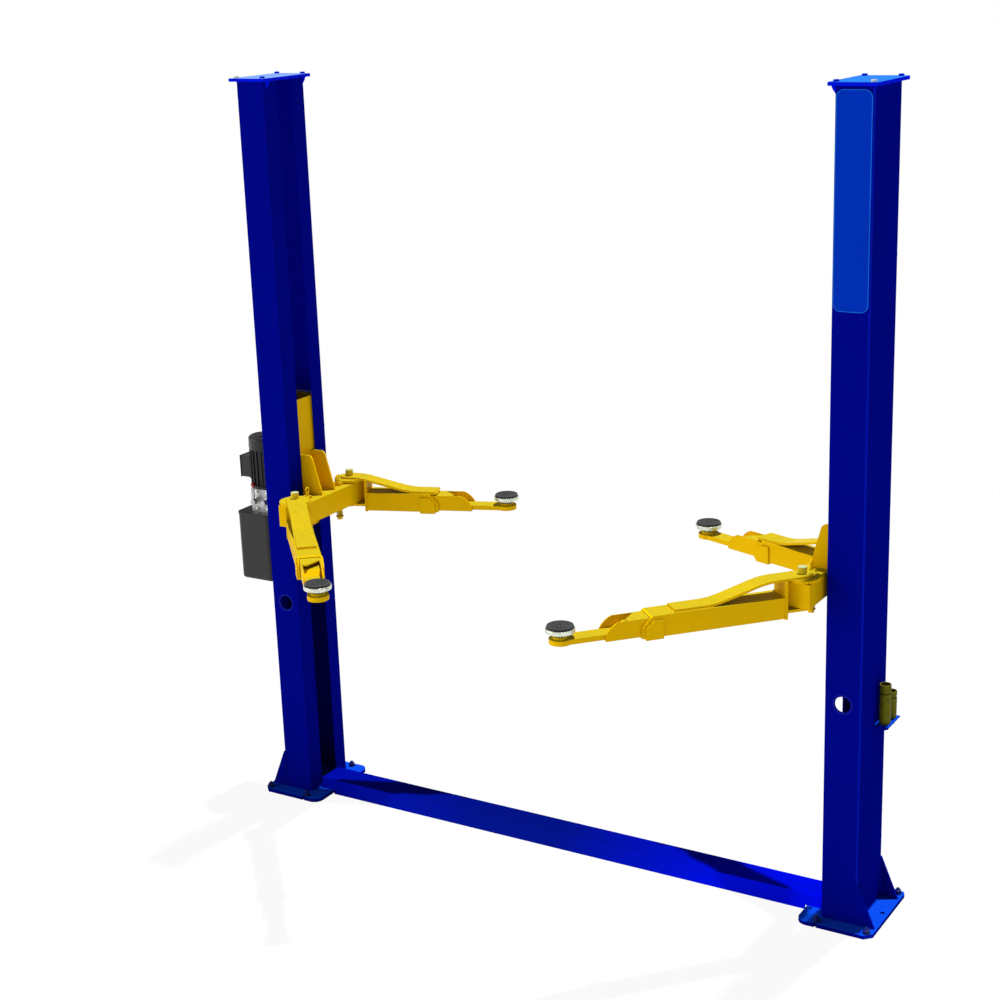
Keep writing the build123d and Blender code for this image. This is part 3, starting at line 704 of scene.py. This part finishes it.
class LIFT_OT_materials(bpy.types.Operator):
    """Makes the finishes and paints the frame's own pieces"""

    bl_idname = "lift.materials"
    bl_label = "Paint the lift"

    def execute(self, context):
        paint = context.scene.lift_paint
        blue, yellow = tuple(paint.post_blue), tuple(paint.arm_yellow)
        sunlit_top_blue, sunlit_top_yellow = tuple(paint.sunlit_top_blue), tuple(paint.sunlit_top_yellow)
        board, zinc, olive = tuple(paint.sign_blue), tuple(paint.zinc), tuple(paint.olive_zinc)
        cap, pin = tuple(paint.cap_blue), tuple(paint.pin_zinc)
        # Painted light on the caps: pale is a paler painted sunlit top for the left cap, and bright gives the cap
        # sides a painted reflection of the sky.
        pale = tuple(value * 0.8 + 0.12 for value in cap)
        shade, bright = scaled(blue, 0.9), scaled(blue, 3.2)
        MATERIALS.update(
            # Colours of the post's painted bend highlight and of the painted light inside its channel.
            post_blue=post_paint(
                "post_enamel", blue, shade, sunlit_top_blue, (0.001, 0.008, 0.42), (0.001, 0.005, 0.6)
            ),
            rim_blue=gloss_paint("rim_enamel", scaled(blue, 1.25), blue, 0.05, 0.0006),
            # The caps carry that painted reflection on their sides and painted sunlight on their tops.
            cap_blue=gloss_paint("cap_enamel", bright, scaled(bright, 0.8), top=cap),
            far_cap_blue=gloss_paint("far_cap_enamel", bright, scaled(bright, 0.8), top=pale),
            # The cover's three colours, left, middle and right, are painted shade and painted light along it.
            cover_blue=cover_paint(
                "cover_enamel", (0.0003, 0.004, 0.46), (0.0009, 0.006, 0.22), (0, 0.0026, 0.95),
                COVER_HALF * MM,
            ),
            # The arms' faces pointing up carry painted sunlight.
            arm_yellow=gloss_paint(
                "arm_enamel", yellow, scaled(yellow, 0.92), 0.01, 0.0018, top=sunlit_top_yellow
            ),
            sign_blue=gloss_paint("board_enamel", board, scaled(board, 0.95)),
            sign_edge=gloss_paint("board_edge_enamel", (0.012, 0.15, 0.75), (0.008, 0.12, 0.65)),
            # Painted highlight: the pins' faces pointing up take a pale greenish white.
            pin_zinc=gloss_paint(
                "yellow_zinc", pin, scaled(pin, 0.75), 0.15, 0.0008, top=(0.31, 0.38, 0.22)
            ),
            zinc_steel=plated_steel("bright_zinc", zinc, scaled(zinc, 0.75), metal=0.8),
            sleeve_zinc=plated_steel(
                "olive_zinc", olive, scaled(olive, 0.7), 0.42, metal=0.2, gloss=0.02
            ),
            dark_zinc=plated_steel(
                "dark_zinc", (0.006, 0.018, 0.17), (0.003, 0.008, 0.08), 0.3, metal=0.1, gloss=0.15
            ),
            pad_rubber=moulded("pad_rubber", (0.01, 0.01, 0.011), (0.018, 0.018, 0.019), 0.75),
            guide_plastic=moulded("guide_plastic", (0.7, 0.69, 0.62), (0.6, 0.59, 0.53), 0.5),
            unit_black=gloss_paint("unit_black", (0.009, 0.009, 0.01), (0.013, 0.013, 0.014), 0.3),
            valve_aluminium=plated_steel(
                "valve_aluminium", (0.42, 0.43, 0.44), (0.34, 0.34, 0.35), 0.4
            ),
            knob_plastic=moulded("knob_plastic", (0.3, 0.006, 0.005), (0.24, 0.005, 0.004), 0.4),
            cylinder_grey=cylinder_paint(
                "cylinder_grey", (0.1, 0.105, 0.11), (0.62, 0.63, 0.64),
                GLAND_TOP * MM, ROD_TOP * MM,
            ),
        )
        special = {
            "floor_cover": "cover_blue",
            "right_cap_plate": "cap_blue", "left_cap_plate": "far_cap_blue",
            "right_arm_pins": "pin_zinc", "left_arm_pins": "pin_zinc",
        }
        for name, node in NODES.items():
            node.data.materials.clear()
            node.data.materials.append(MATERIALS[special.get(name, slot_of(name))])
        return {"FINISHED"}


class LIFT_OT_cap_bolts(bpy.types.Operator):
    """Adds the four bolts on top of each cap plate"""

    bl_idname = "lift.cap_bolts"
    bl_label = "Cap bolts"

    def execute(self, context):
        across = context.scene.lift_sizes.bolt_across
        low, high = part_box("right_cap_plate")
        inset = 0.026
        bolts = []
        for x in (low.x + inset, high.x - inset):
            for y in (low.y + inset, high.y - inset):
                bolt = hex_bolt(across, 6, 13, 1.5)
                bolts.append(carry(bolt, Matrix.Translation((x, y, high.z))))
        bare = bolts.pop(2)
        # The painted cap bolts take the caps' painted reflection and painted sunlit tops.
        pair(join(bolts), "cap_bolts", "root", "post_blue", finish="cap_blue")
        pair(bare, "cap_bare_bolt", "root", "zinc_steel")
        return {"FINISHED"}


class LIFT_OT_board_and_hatches(bpy.types.Operator):
    """Adds the board's raised edge and the rim and screws round each hatch"""

    bl_idname = "lift.board_and_hatches"
    bl_label = "Board edge and hatch rims"

    def execute(self, context):
        low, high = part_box("sign_panel")
        centre = (low + high) / 2
        rim = rounded_ring((high.x - low.x) / MM, (high.z - low.z) / MM, 30, 3, 1)
        carry(rim, Matrix.Translation((centre.x, low.y, centre.z)) @ FACE_FRONT)
        hand_over(rim, "sign_rim", "root", "sign_blue", finish="sign_edge")
        hole, edge = 34.5, 43
        hatch = spun([
            (hole, 0), (edge, 0), (edge, 0.5), (edge - 0.5, 1), (hole + 0.5, 1), (hole, 0.5),
            (hole, 0),
        ], 64)
        parts = [carry(hatch, spot(POST_MIDDLE, -POST_HALF, HATCH) @ FACE_FRONT)]
        for z in (HATCH - 38.7, HATCH + 38.7):
            place = spot(POST_MIDDLE, -POST_HALF - 1.2, z) @ FACE_FRONT
            parts.append(carry(screw_head(2.6, 1.6), place))
        pair(join(parts), "hatch_rim", "root", "post_blue", finish="rim_blue")
        return {"FINISHED"}


class LIFT_OT_anchors(bpy.types.Operator):
    """Replaces the floor anchors with threaded studs, nuts and washers"""

    bl_idname = "lift.anchors"
    bl_label = "Floor anchors"

    def execute(self, context):
        nuts, studs = [], []
        turn = 0.0
        for x in ANCHORS_X:
            for y in (-ANCHOR_Y, ANCHOR_Y):
                turn += 0.37
                place = spot(x, y, BASE_TOP) @ Matrix.Rotation(turn, 4, "Z")
                nuts.append(carry(hex_bolt(24, 14, 17, 3), place))
                profile = [(0, 12), (8, 12)] + threads(8, 16, 24, 1.8, 0.9)
                studs.append(carry(spun(profile + [(6.6, 25.2), (0, 26)], 20), place))
        for name, parts, smooth in (("anchor_nuts", nuts, 30), ("anchor_studs", studs, 50)):
            right = join(parts)
            both = join([right, carry(copy_of(right), MIRROR)])
            hand_over(both, name, "root", "zinc_steel", smooth, ["anchor_bolts"], "dark_zinc")
        return {"FINISHED"}


class LIFT_OT_post_welds(bpy.types.Operator):
    """Adds the weld beads round each post's foot and its gussets"""

    bl_idname = "lift.post_welds"
    bl_label = "Post welds"

    def execute(self, context):
        width = context.scene.lift_sizes.weld_width
        near, far, side, z = POST_INNER + BEND, POST_OUTER - BEND, POST_HALF - BEND, BASE_TOP
        seams = []
        for y in (-1, 1):
            seams += [
                ((near, y * POST_HALF, z), (far, y * POST_HALF, z)),
                ((POST_INNER, y * side, z), (POST_INNER, y * 62, z)),
                ((POST_OUTER + 4, y * 137, z), (POST_OUTER + 74, y * 137, z)),
                ((POST_OUTER, y * 137, z + 8), (POST_OUTER, y * 137, 194)),
            ]
        seams.append(((POST_OUTER, -132, z), (POST_OUTER, 132, z)))
        pair(weld(seams, width), "foot_welds", "root", "post_blue", 60)
        rack = [((POST_OUTER, 12, RACK_FOOT - 4), (POST_OUTER, 142, RACK_FOOT - 4))]
        pair(weld(rack, width * 0.8), "rack_weld", "root", "post_blue", 60)
        return {"FINISHED"}


class LIFT_OT_floor_cover(bpy.types.Operator):
    """Adds the raised tread marks and the screws of the floor cover"""

    bl_idname = "lift.floor_cover"
    bl_label = "Floor cover tread"

    def execute(self, context):
        pitch = context.scene.lift_sizes.tread_pitch
        low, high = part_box("floor_cover")
        half = high.x / MM - 10
        rows = int(110 / pitch / 2)
        columns = int(half / pitch)
        marks = []
        for step_x, step_y in ((0, 0), (1, 0), (0, 1), (1, 1)):
            clear_selection()
            bpy.ops.mesh.primitive_uv_sphere_add(segments=8, ring_count=4, radius=1)
            mark = bpy.context.object
            mark.scale = (0.4 * pitch * MM, 0.11 * pitch * MM, 0.9 * MM)
            lean = pi / 4 if step_x == step_y else -pi / 4
            place = spot(step_x * pitch, step_y * pitch, 0) @ Matrix.Rotation(lean, 4, "Z")
            marks.append(carry(mark, place))
        tread = join(marks)
        for count, axis in ((columns, 0), (rows, 1)):
            offset = [0.0, 0.0, 0.0]
            offset[axis] = 2 * pitch * MM
            use(
                tread, "ARRAY", count=count, use_relative_offset=False,
                use_constant_offset=True, constant_offset_displace=offset,
            )
        start_x = -(columns - 0.5) * pitch
        start_y = -(rows - 0.5) * pitch
        carry(tread, spot(start_x, start_y, high.z / MM))
        hand_over(tread, "cover_tread", "root", "post_blue", 60, finish="cover_blue")
        screws = []
        for x in (-1284, -642, 0, 642, 1284):
            for y in (-57, 57):
                screws.append(carry(screw_head(5, 2.2), spot(x, y, high.z / MM)))
        hand_over(join(screws), "cover_screws", "root", "zinc_steel", finish="cover_blue")
        return {"FINISHED"}


class LIFT_OT_sleeves(bpy.types.Operator):
    """Replaces the spare pad sleeves with turned tubes"""

    bl_idname = "lift.sleeves"
    bl_label = "Pad sleeves"

    def execute(self, context):
        low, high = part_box("right_adapter_sleeves")
        radius, short = 23.5, 116
        foot, top = low.z / MM, high.z / MM
        middle = (low.x + high.x) / 2 / MM
        tubes = []
        for y, end in ((low.y / MM + radius, top), (high.y / MM - radius, foot + short)):
            tubes.append(carry(self.tube(radius, foot, end), spot(middle, y, 0)))
        pair(
            join(tubes), "turned_sleeves", "root", "sleeve_zinc",
            stands_for="{side}_adapter_sleeves",
        )
        return {"FINISHED"}

    def tube(self, radius, foot, top):
        """A turned tube with a stop ring's groove and rounded ends."""
        bore = radius - 4.8
        ring = foot + 0.77 * (top - foot)
        return spun([
            (bore, foot), (radius - 1.2, foot), (radius, foot + 1.2), (radius, ring - 2),
            (radius - 4, ring - 1), (radius - 4, ring + 7), (radius, ring + 8),
            (radius, top - 1.4), (radius - 1.4, top), (bore + 1, top), (bore, top - 1),
            (bore, foot),
        ], 40)


class LIFT_OT_power_unit(bpy.types.Operator):
    """Adds the fan grille, lids, plugs, screws and knob of the power unit"""

    bl_idname = "lift.power_unit"
    bl_label = "Power unit details"

    def execute(self, context):
        self.motor_details()
        self.tank_details()
        self.valve_details()
        return {"FINISHED"}

    def motor_details(self):
        low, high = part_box("motor")
        x, foot, top = high.x / MM - 80, low.z / MM, high.z / MM
        rings = []
        for radius in (16, 27, 38, 49, 60):
            rings.append(spun([
                (radius - 1.6, -1), (radius - 1.6, 1), (radius, 2.2), (radius + 1.6, 1),
                (radius + 1.6, -1), (radius - 1.6, -1),
            ], 48))
        for index in range(6):
            spoke = brick((48, 3, 3.4), (38, 0, 0.2), 0.6)
            rings.append(carry(spoke, Matrix.Rotation(index * pi / 3, 4, "Z")))
        rings.append(spun([(0, 3), (10, 2.4), (12, 0), (0, 0)], 32))
        grille = carry(join(rings), spot(x, 0, top))
        hand_over(grille, "motor_grille", "root", "unit_black")
        box_x, middle = low.x / MM, foot + 94
        lid = brick((4, 96, 106), (box_x - 1.5, 0, middle), 1.2)
        gland = carry(hex_bolt(24, 7), spot(box_x + 22, 0, foot + 44) @ FACE_DOWN)
        nose = carry(
            spun([(0, 0), (9, 0), (9, 10), (7, 13), (0, 13)], 24),
            spot(box_x + 22, 0, foot + 38) @ FACE_DOWN,
        )
        hand_over(join([lid, gland, nose]), "terminal_lid", "root", "unit_black")
        screws = []
        for y in (-41, 41):
            for z in (middle - 46, middle + 46):
                screws.append(carry(screw_head(3.6, 2), spot(box_x - 3.5, y, z) @ FACE_LEFT))
        for index in range(4):
            around = Matrix.Rotation(pi / 4 + index * pi / 2, 4, "Z")
            place = spot(x, 0, top - 44) @ around @ spot(80, 0, 0) @ FACE_RIGHT
            screws.append(carry(screw_head(4, 2.2), place))
        hand_over(join(screws), "motor_screws", "root", "zinc_steel")

    def tank_details(self):
        low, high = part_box("oil_tank")
        middle = (low.x + high.x) / 2 / MM
        foot, top = low.z / MM, TANK_TOP
        width, depth = (high.x - low.x) / MM, (high.y - low.y) / MM
        band = rounded_ring(width + 5, depth + 5, 27, 6, 12)
        carry(band, spot(middle, 0, top - 12))
        ribs = [band]
        for y in (-60, 0, 60):
            ribs.append(brick((5, 14, 210), (low.x / MM, y, foot + 150), 2.4, 3))
        plug = carry(hex_bolt(22, 9, 15, 2), spot(middle, -60, foot) @ FACE_DOWN)
        hand_over(join(ribs), "tank_ribs", "root", "unit_black")
        hand_over(plug, "drain_plug", "root", "zinc_steel")
        cap_x = low.x / MM + 30
        grips = []
        for index in range(20):
            around = Matrix.Rotation(index * pi / 10, 4, "Z")
            grips.append(carry(drum(1.7, 14, 8, (24, 0, 9)), around))
        grips.append(spun([(0, 20), (16, 19.6), (22, 18), (23.5, 15), (23.5, 12), (0, 12)], 40))
        cap = carry(join(grips), spot(cap_x, 0, top))
        hand_over(cap, "filler_cap", "root", "unit_black")

    def valve_details(self):
        low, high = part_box("pump_block")
        face_x, middle = low.x / MM, TANK_TOP + 55
        plugs = []

        def plug(bolt, x, y, z, face):
            plugs.append(carry(hex_bolt(*bolt), spot(x, y, z) @ face))

        for y in (-48, 0, 48):
            for z in (middle - 26, middle + 26):
                plug((17, 6, 12, 1.5), face_x, y, z, FACE_LEFT)
        for x in (face_x + 35, face_x + 95):
            for z in (middle - 40, middle + 40):
                plug((13, 5, 9, 1.5), x, -75, z, FACE_FRONT)
            plug((28, 9, 17, 2), x, -75, middle, FACE_FRONT)
            plug((19, 8, 13, 2), x, 75, middle, FACE_BACK)
        hand_over(join(plugs), "valve_plugs", "root", "zinc_steel")
        knob = spun([
            (0, 11.4), (4, 10.8), (8, 8), (10.6, 3.6), (11, 0), (10, -4), (7, -8), (5, -11),
            (5, -13), (0, -13),
        ], 32)
        carry(knob, spot(face_x + 35, -100, TANK_TOP + 137))
        hand_over(knob, "lever_knob", "root", "unit_black", finish="knob_plastic")


class LIFT_OT_carriage_details(bpy.types.Operator):
    """Adds the welds of the carriage beams"""

    bl_idname = "lift.carriage_details"
    bl_label = "Carriage welds"

    def execute(self, context):
        width = context.scene.lift_sizes.weld_width
        seams = []
        for y in (-53, -45, 45, 53):
            seams.append(((1203, y, BEAM_TOP), (BEAM_OUTER - 1, y, BEAM_TOP)))
        for y in (-53, 53):
            seams.append(((BEAM_OUTER, y, BEAM_LOW + 2), (BEAM_OUTER, y, BEAM_TOP - 2)))
            seams.append(((1322, y, BEAM_LOW + 2), (1322, y, 1682)))
        pair(weld(seams, width), "carriage_welds", "{side}_carriage", "arm_yellow", 60)
        return {"FINISHED"}


class LIFT_OT_arm_welds(bpy.types.Operator):
    """Adds the weld beads of the swing arms"""

    bl_idname = "lift.arm_welds"
    bl_label = "Arm welds"

    def execute(self, context):
        width = context.scene.lift_sizes.weld_width
        for kind, arm in ARMS.items():
            seams = self.seams(arm["length"], arm["land"], arm["strap"])
            piece = carry(weld(seams, width), arm_matrix("right", kind))
            pair(piece, f"{kind}_arm_welds", f"{{side}}_{kind}_arm", "arm_yellow", 60)
        return {"FINISHED"}

    def seams(self, length, land, strap):
        back = length - 86
        lines = [
            ((strap, -39, TUBE_TOP), (strap, 39, TUBE_TOP)),
            ((96, -49, TUBE_TOP), (96, 49, TUBE_TOP)),
            ((84, -42, FORK_TOP), (84, 42, FORK_TOP)),
            ((84, -42, FORK_TOP - 12), (84, 42, FORK_TOP - 12)),
            ((84, -39, STRAP_LOW - 1), (84, 39, STRAP_LOW - 1)),
            ((back, -49, ARM_LOW), (back, 49, ARM_LOW)),
        ]
        for v in (-1, 1):
            lines += [
                ((land + 8, v * 42, TUBE_TOP), (strap - 4, v * 42, TUBE_TOP)),
                ((96, v * 52, ARM_LOW + 2), (96, v * 52, TUBE_TOP - 2)),
                ((-18, v * 42, STRAP_LOW), (56, v * 42, STRAP_LOW)),
                ((back, v * 52.5, ARM_LOW - 4), (back, v * 52.5, 1436)),
                ((back + 3, v * 52.5, 1438), (back + 40, v * 52.5, 1438)),
            ]
        return lines


class LIFT_OT_lock_springs(bpy.types.Operator):
    """Adds the coil spring and the washer under each arm lock"""

    bl_idname = "lift.lock_springs"
    bl_label = "Lock springs"

    def execute(self, context):
        foot, head, pull = 1349, BEAM_LOW, 15
        for kind, y in (("front", -LOCK_Y), ("rear", LOCK_Y)):
            coil = carry(spring(13.5, 2.4, head - foot - 7.8, 6), spot(PIN_X, y, foot + 5.4))
            washer = spun([(8, 0), (18, 0), (18.5, 1), (18.5, 2), (18, 3), (8, 3), (8, 0)], 32)
            pair(
                carry(washer, spot(PIN_X, y, foot)), f"{kind}_lock_washer",
                f"{{side}}_{kind}_lock", "zinc_steel", finish="pin_zinc",
            )
            halves = pair(
                coil, f"{kind}_lock_spring", "{side}_carriage", "zinc_steel", 60, finish="pin_zinc"
            )
            for side, half in zip(("right", "left"), halves):
                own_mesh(half)
        return {"FINISHED"}


class LIFT_OT_pads(bpy.types.Operator):
    """Replaces the pads and their screws with grooved rubber and threaded cups"""

    bl_idname = "lift.pads"
    bl_label = "Pads and screws"

    def execute(self, context):
        sizes = context.scene.lift_sizes
        for kind in KINDS:
            low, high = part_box(f"right_{kind}_pad")
            centre = (low + high) / 2
            place = Matrix.Translation((centre.x, centre.y, 0))
            disc = self.disc(low.z / MM, high.z / MM, sizes.pad_groove)
            pair(
                carry(disc, place), f"{kind}_grooved_pad", f"{{side}}_{kind}_tip", "pad_rubber",
                stands_for=f"{{side}}_{kind}_pad",
            )
            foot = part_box(f"right_{kind}_pad_screw")[0].z / MM
            cup = self.cup(foot, low.z / MM, sizes.thread_pitch)
            pair(
                carry(cup, place), f"{kind}_threaded_cup", f"{{side}}_{kind}_tip", "zinc_steel",
                stands_for=f"{{side}}_{kind}_pad_screw",
            )
        return {"FINISHED"}

    def disc(self, foot, top, groove):
        """A rubber disc with ring grooves and a moulded lip."""
        profile = [(0, top - 3), (6, top - 3), (6.8, top)]
        for radius in (13, 22, 31, 40):
            profile += [
                (radius, top), (radius + 0.6, top - 3), (radius + groove - 0.6, top - 3),
                (radius + groove, top),
            ]
        profile += [(49.8, top), (51.7, top - 0.9), (52.6, top - 2.8), (52.6, foot), (0, foot)]
        return spun(profile, 56)

    def cup(self, foot, seat, pitch):
        """A threaded stem under a round cup with a rolled rim."""
        low = seat - 6
        profile = [(0, foot), (15.5, foot)] + threads(16.9, foot + 1, low - 3, pitch, 1.6)
        profile += [
            (15.4, low - 2.4), (20, low), (54, low), (57.2, low + 1.4), (58, low + 4),
            (58, low + 16), (57, low + 17.6), (55.5, low + 18), (54, low + 17.6), (53, low + 16.2),
            (53, low + 7), (52, low + 6), (0, low + 6),
        ]
        return spun(profile, 56)


class LIFT_OT_stage(bpy.types.Operator):
    """Sets up the floor, the light and the camera"""

    bl_idname = "lift.stage"
    bl_label = "Floor, light and camera"

    def execute(self, context):
        studio = context.scene.lift_studio
        self.floor()
        self.sun("high_sun", studio.sun_from, studio.sun, 1.2)
        self.sun("fill_sun", studio.fill_from, studio.fill, 50)
        self.sky(context.scene, studio)
        turn = (
            Matrix.Rotation(studio.yaw, 3, "Z")
            @ Matrix.Rotation(pi / 2 - studio.pitch, 3, "X")
            @ Matrix.Rotation(studio.roll, 3, "Z")
        )
        clear_selection()
        bpy.ops.object.camera_add(location=tuple(studio.eye), rotation=turn.to_euler())
        camera = context.object
        camera.name = "photo_camera"
        camera.data.lens = studio.lens
        camera.data.sensor_width = 36
        camera.data.clip_end = 2000
        context.scene.camera = camera
        return {"FINISHED"}

    def floor(self):
        clear_selection()
        bpy.ops.mesh.primitive_plane_add(size=800, location=(0, 0, -0.0005))
        floor = bpy.context.object
        floor.name = "studio_floor"
        material, tree, shader = new_material("studio_floor")
        shader.inputs["Base Color"].default_value = (0.56, 0.56, 0.56, 1)
        shader.inputs["Roughness"].default_value = 0.9
        shader.inputs["Specular IOR Level"].default_value = 0.1
        place = add_node(tree, "ShaderNodeTexCoord")
        away = add_node(tree, "ShaderNodeVectorMath", operation="LENGTH")
        tree.links.new(place.outputs["Object"], away.inputs[0])
        fade = spread(tree, away.outputs["Value"], 0.93, 1.0, 2.6, 6.5)
        path = add_node(tree, "ShaderNodeLightPath")
        share = math(tree, "MULTIPLY", fade, path.outputs["Is Camera Ray"])
        glow = add_node(tree, "ShaderNodeEmission", Strength=1.0, Color=WHITE)
        self.switch(tree, share, shader, glow, "Material Output")
        floor.data.materials.append(material)

    def sun(self, name, source, strength, angle):
        clear_selection()
        aim = Vector(source).to_track_quat("Z", "Y").to_euler()
        bpy.ops.object.light_add(type="SUN", location=(0, 0, 8), rotation=aim)
        lamp = bpy.context.object
        lamp.name = name
        lamp.data.energy = strength
        lamp.data.angle = radians(angle)

    def sky(self, scene, studio):
        world = bpy.data.worlds.new("studio_sky")
        scene.world = world
        world.use_nodes = True
        tree = world.node_tree
        fill = tree.nodes["Background"]
        fill.inputs["Color"].default_value = WHITE
        fill.inputs["Strength"].default_value = studio.sky
        white = add_node(tree, "ShaderNodeBackground", Strength=1.0, Color=WHITE)
        rays = add_node(tree, "ShaderNodeLightPath").outputs
        seen = math(tree, "MAXIMUM", rays["Is Camera Ray"], rays["Is Transmission Ray"])
        self.switch(tree, seen, fill, white, "World Output")

    def switch(self, tree, share, shown, swapped, output):
        """Mixes two shaders by a value into the tree's output."""
        blend = add_node(tree, "ShaderNodeMixShader")
        for index, socket in enumerate((share, shown.outputs[0], swapped.outputs[0])):
            tree.links.new(socket, blend.inputs[index])
        tree.links.new(blend.outputs[0], tree.nodes[output].inputs["Surface"])


class LIFT_PT_panel(bpy.types.Panel):
    """The lift's sizes, colours and operators"""

    bl_idname = "LIFT_PT_panel"
    bl_label = "Car lift"
    bl_space_type = "VIEW_3D"
    bl_region_type = "UI"
    bl_category = "Car lift"

    def draw(self, context):
        scene = context.scene
        for group in (scene.lift_paint, scene.lift_sizes, scene.lift_studio):
            box = self.layout.box()
            for name in group.bl_rna.properties.keys():
                if name not in ("rna_type", "name"):
                    box.prop(group, name)
        for operator in OPERATORS:
            self.layout.operator(operator.bl_idname)


GROUPS = {"lift_paint": LiftPaint, "lift_sizes": LiftSizes, "lift_studio": LiftStudio}
OPERATORS = (
    LIFT_OT_materials, LIFT_OT_cap_bolts, LIFT_OT_board_and_hatches, LIFT_OT_anchors,
    LIFT_OT_post_welds, LIFT_OT_floor_cover, LIFT_OT_sleeves, LIFT_OT_power_unit,
    LIFT_OT_carriage_details, LIFT_OT_arm_welds, LIFT_OT_lock_springs, LIFT_OT_pads,
    LIFT_OT_stage,
)


def register():
    for kind in (*GROUPS.values(), *OPERATORS, LIFT_PT_panel):
        bpy.utils.register_class(kind)
    for name, kind in GROUPS.items():
        setattr(bpy.types.Scene, name, bpy.props.PointerProperty(type=kind))


def unregister():
    for name in GROUPS:
        delattr(bpy.types.Scene, name)
    for kind in reversed((*GROUPS.values(), *OPERATORS, LIFT_PT_panel)):
        bpy.utils.unregister_class(kind)


def main():
    register()
    scene = bpy.context.scene
    scene.view_settings.view_transform = "Standard"
    for operator in OPERATORS:
        group, name = operator.bl_idname.split(".")
        getattr(getattr(bpy.ops, group), name)()
    clear_selection()


if __name__ == "__main__":
    main()
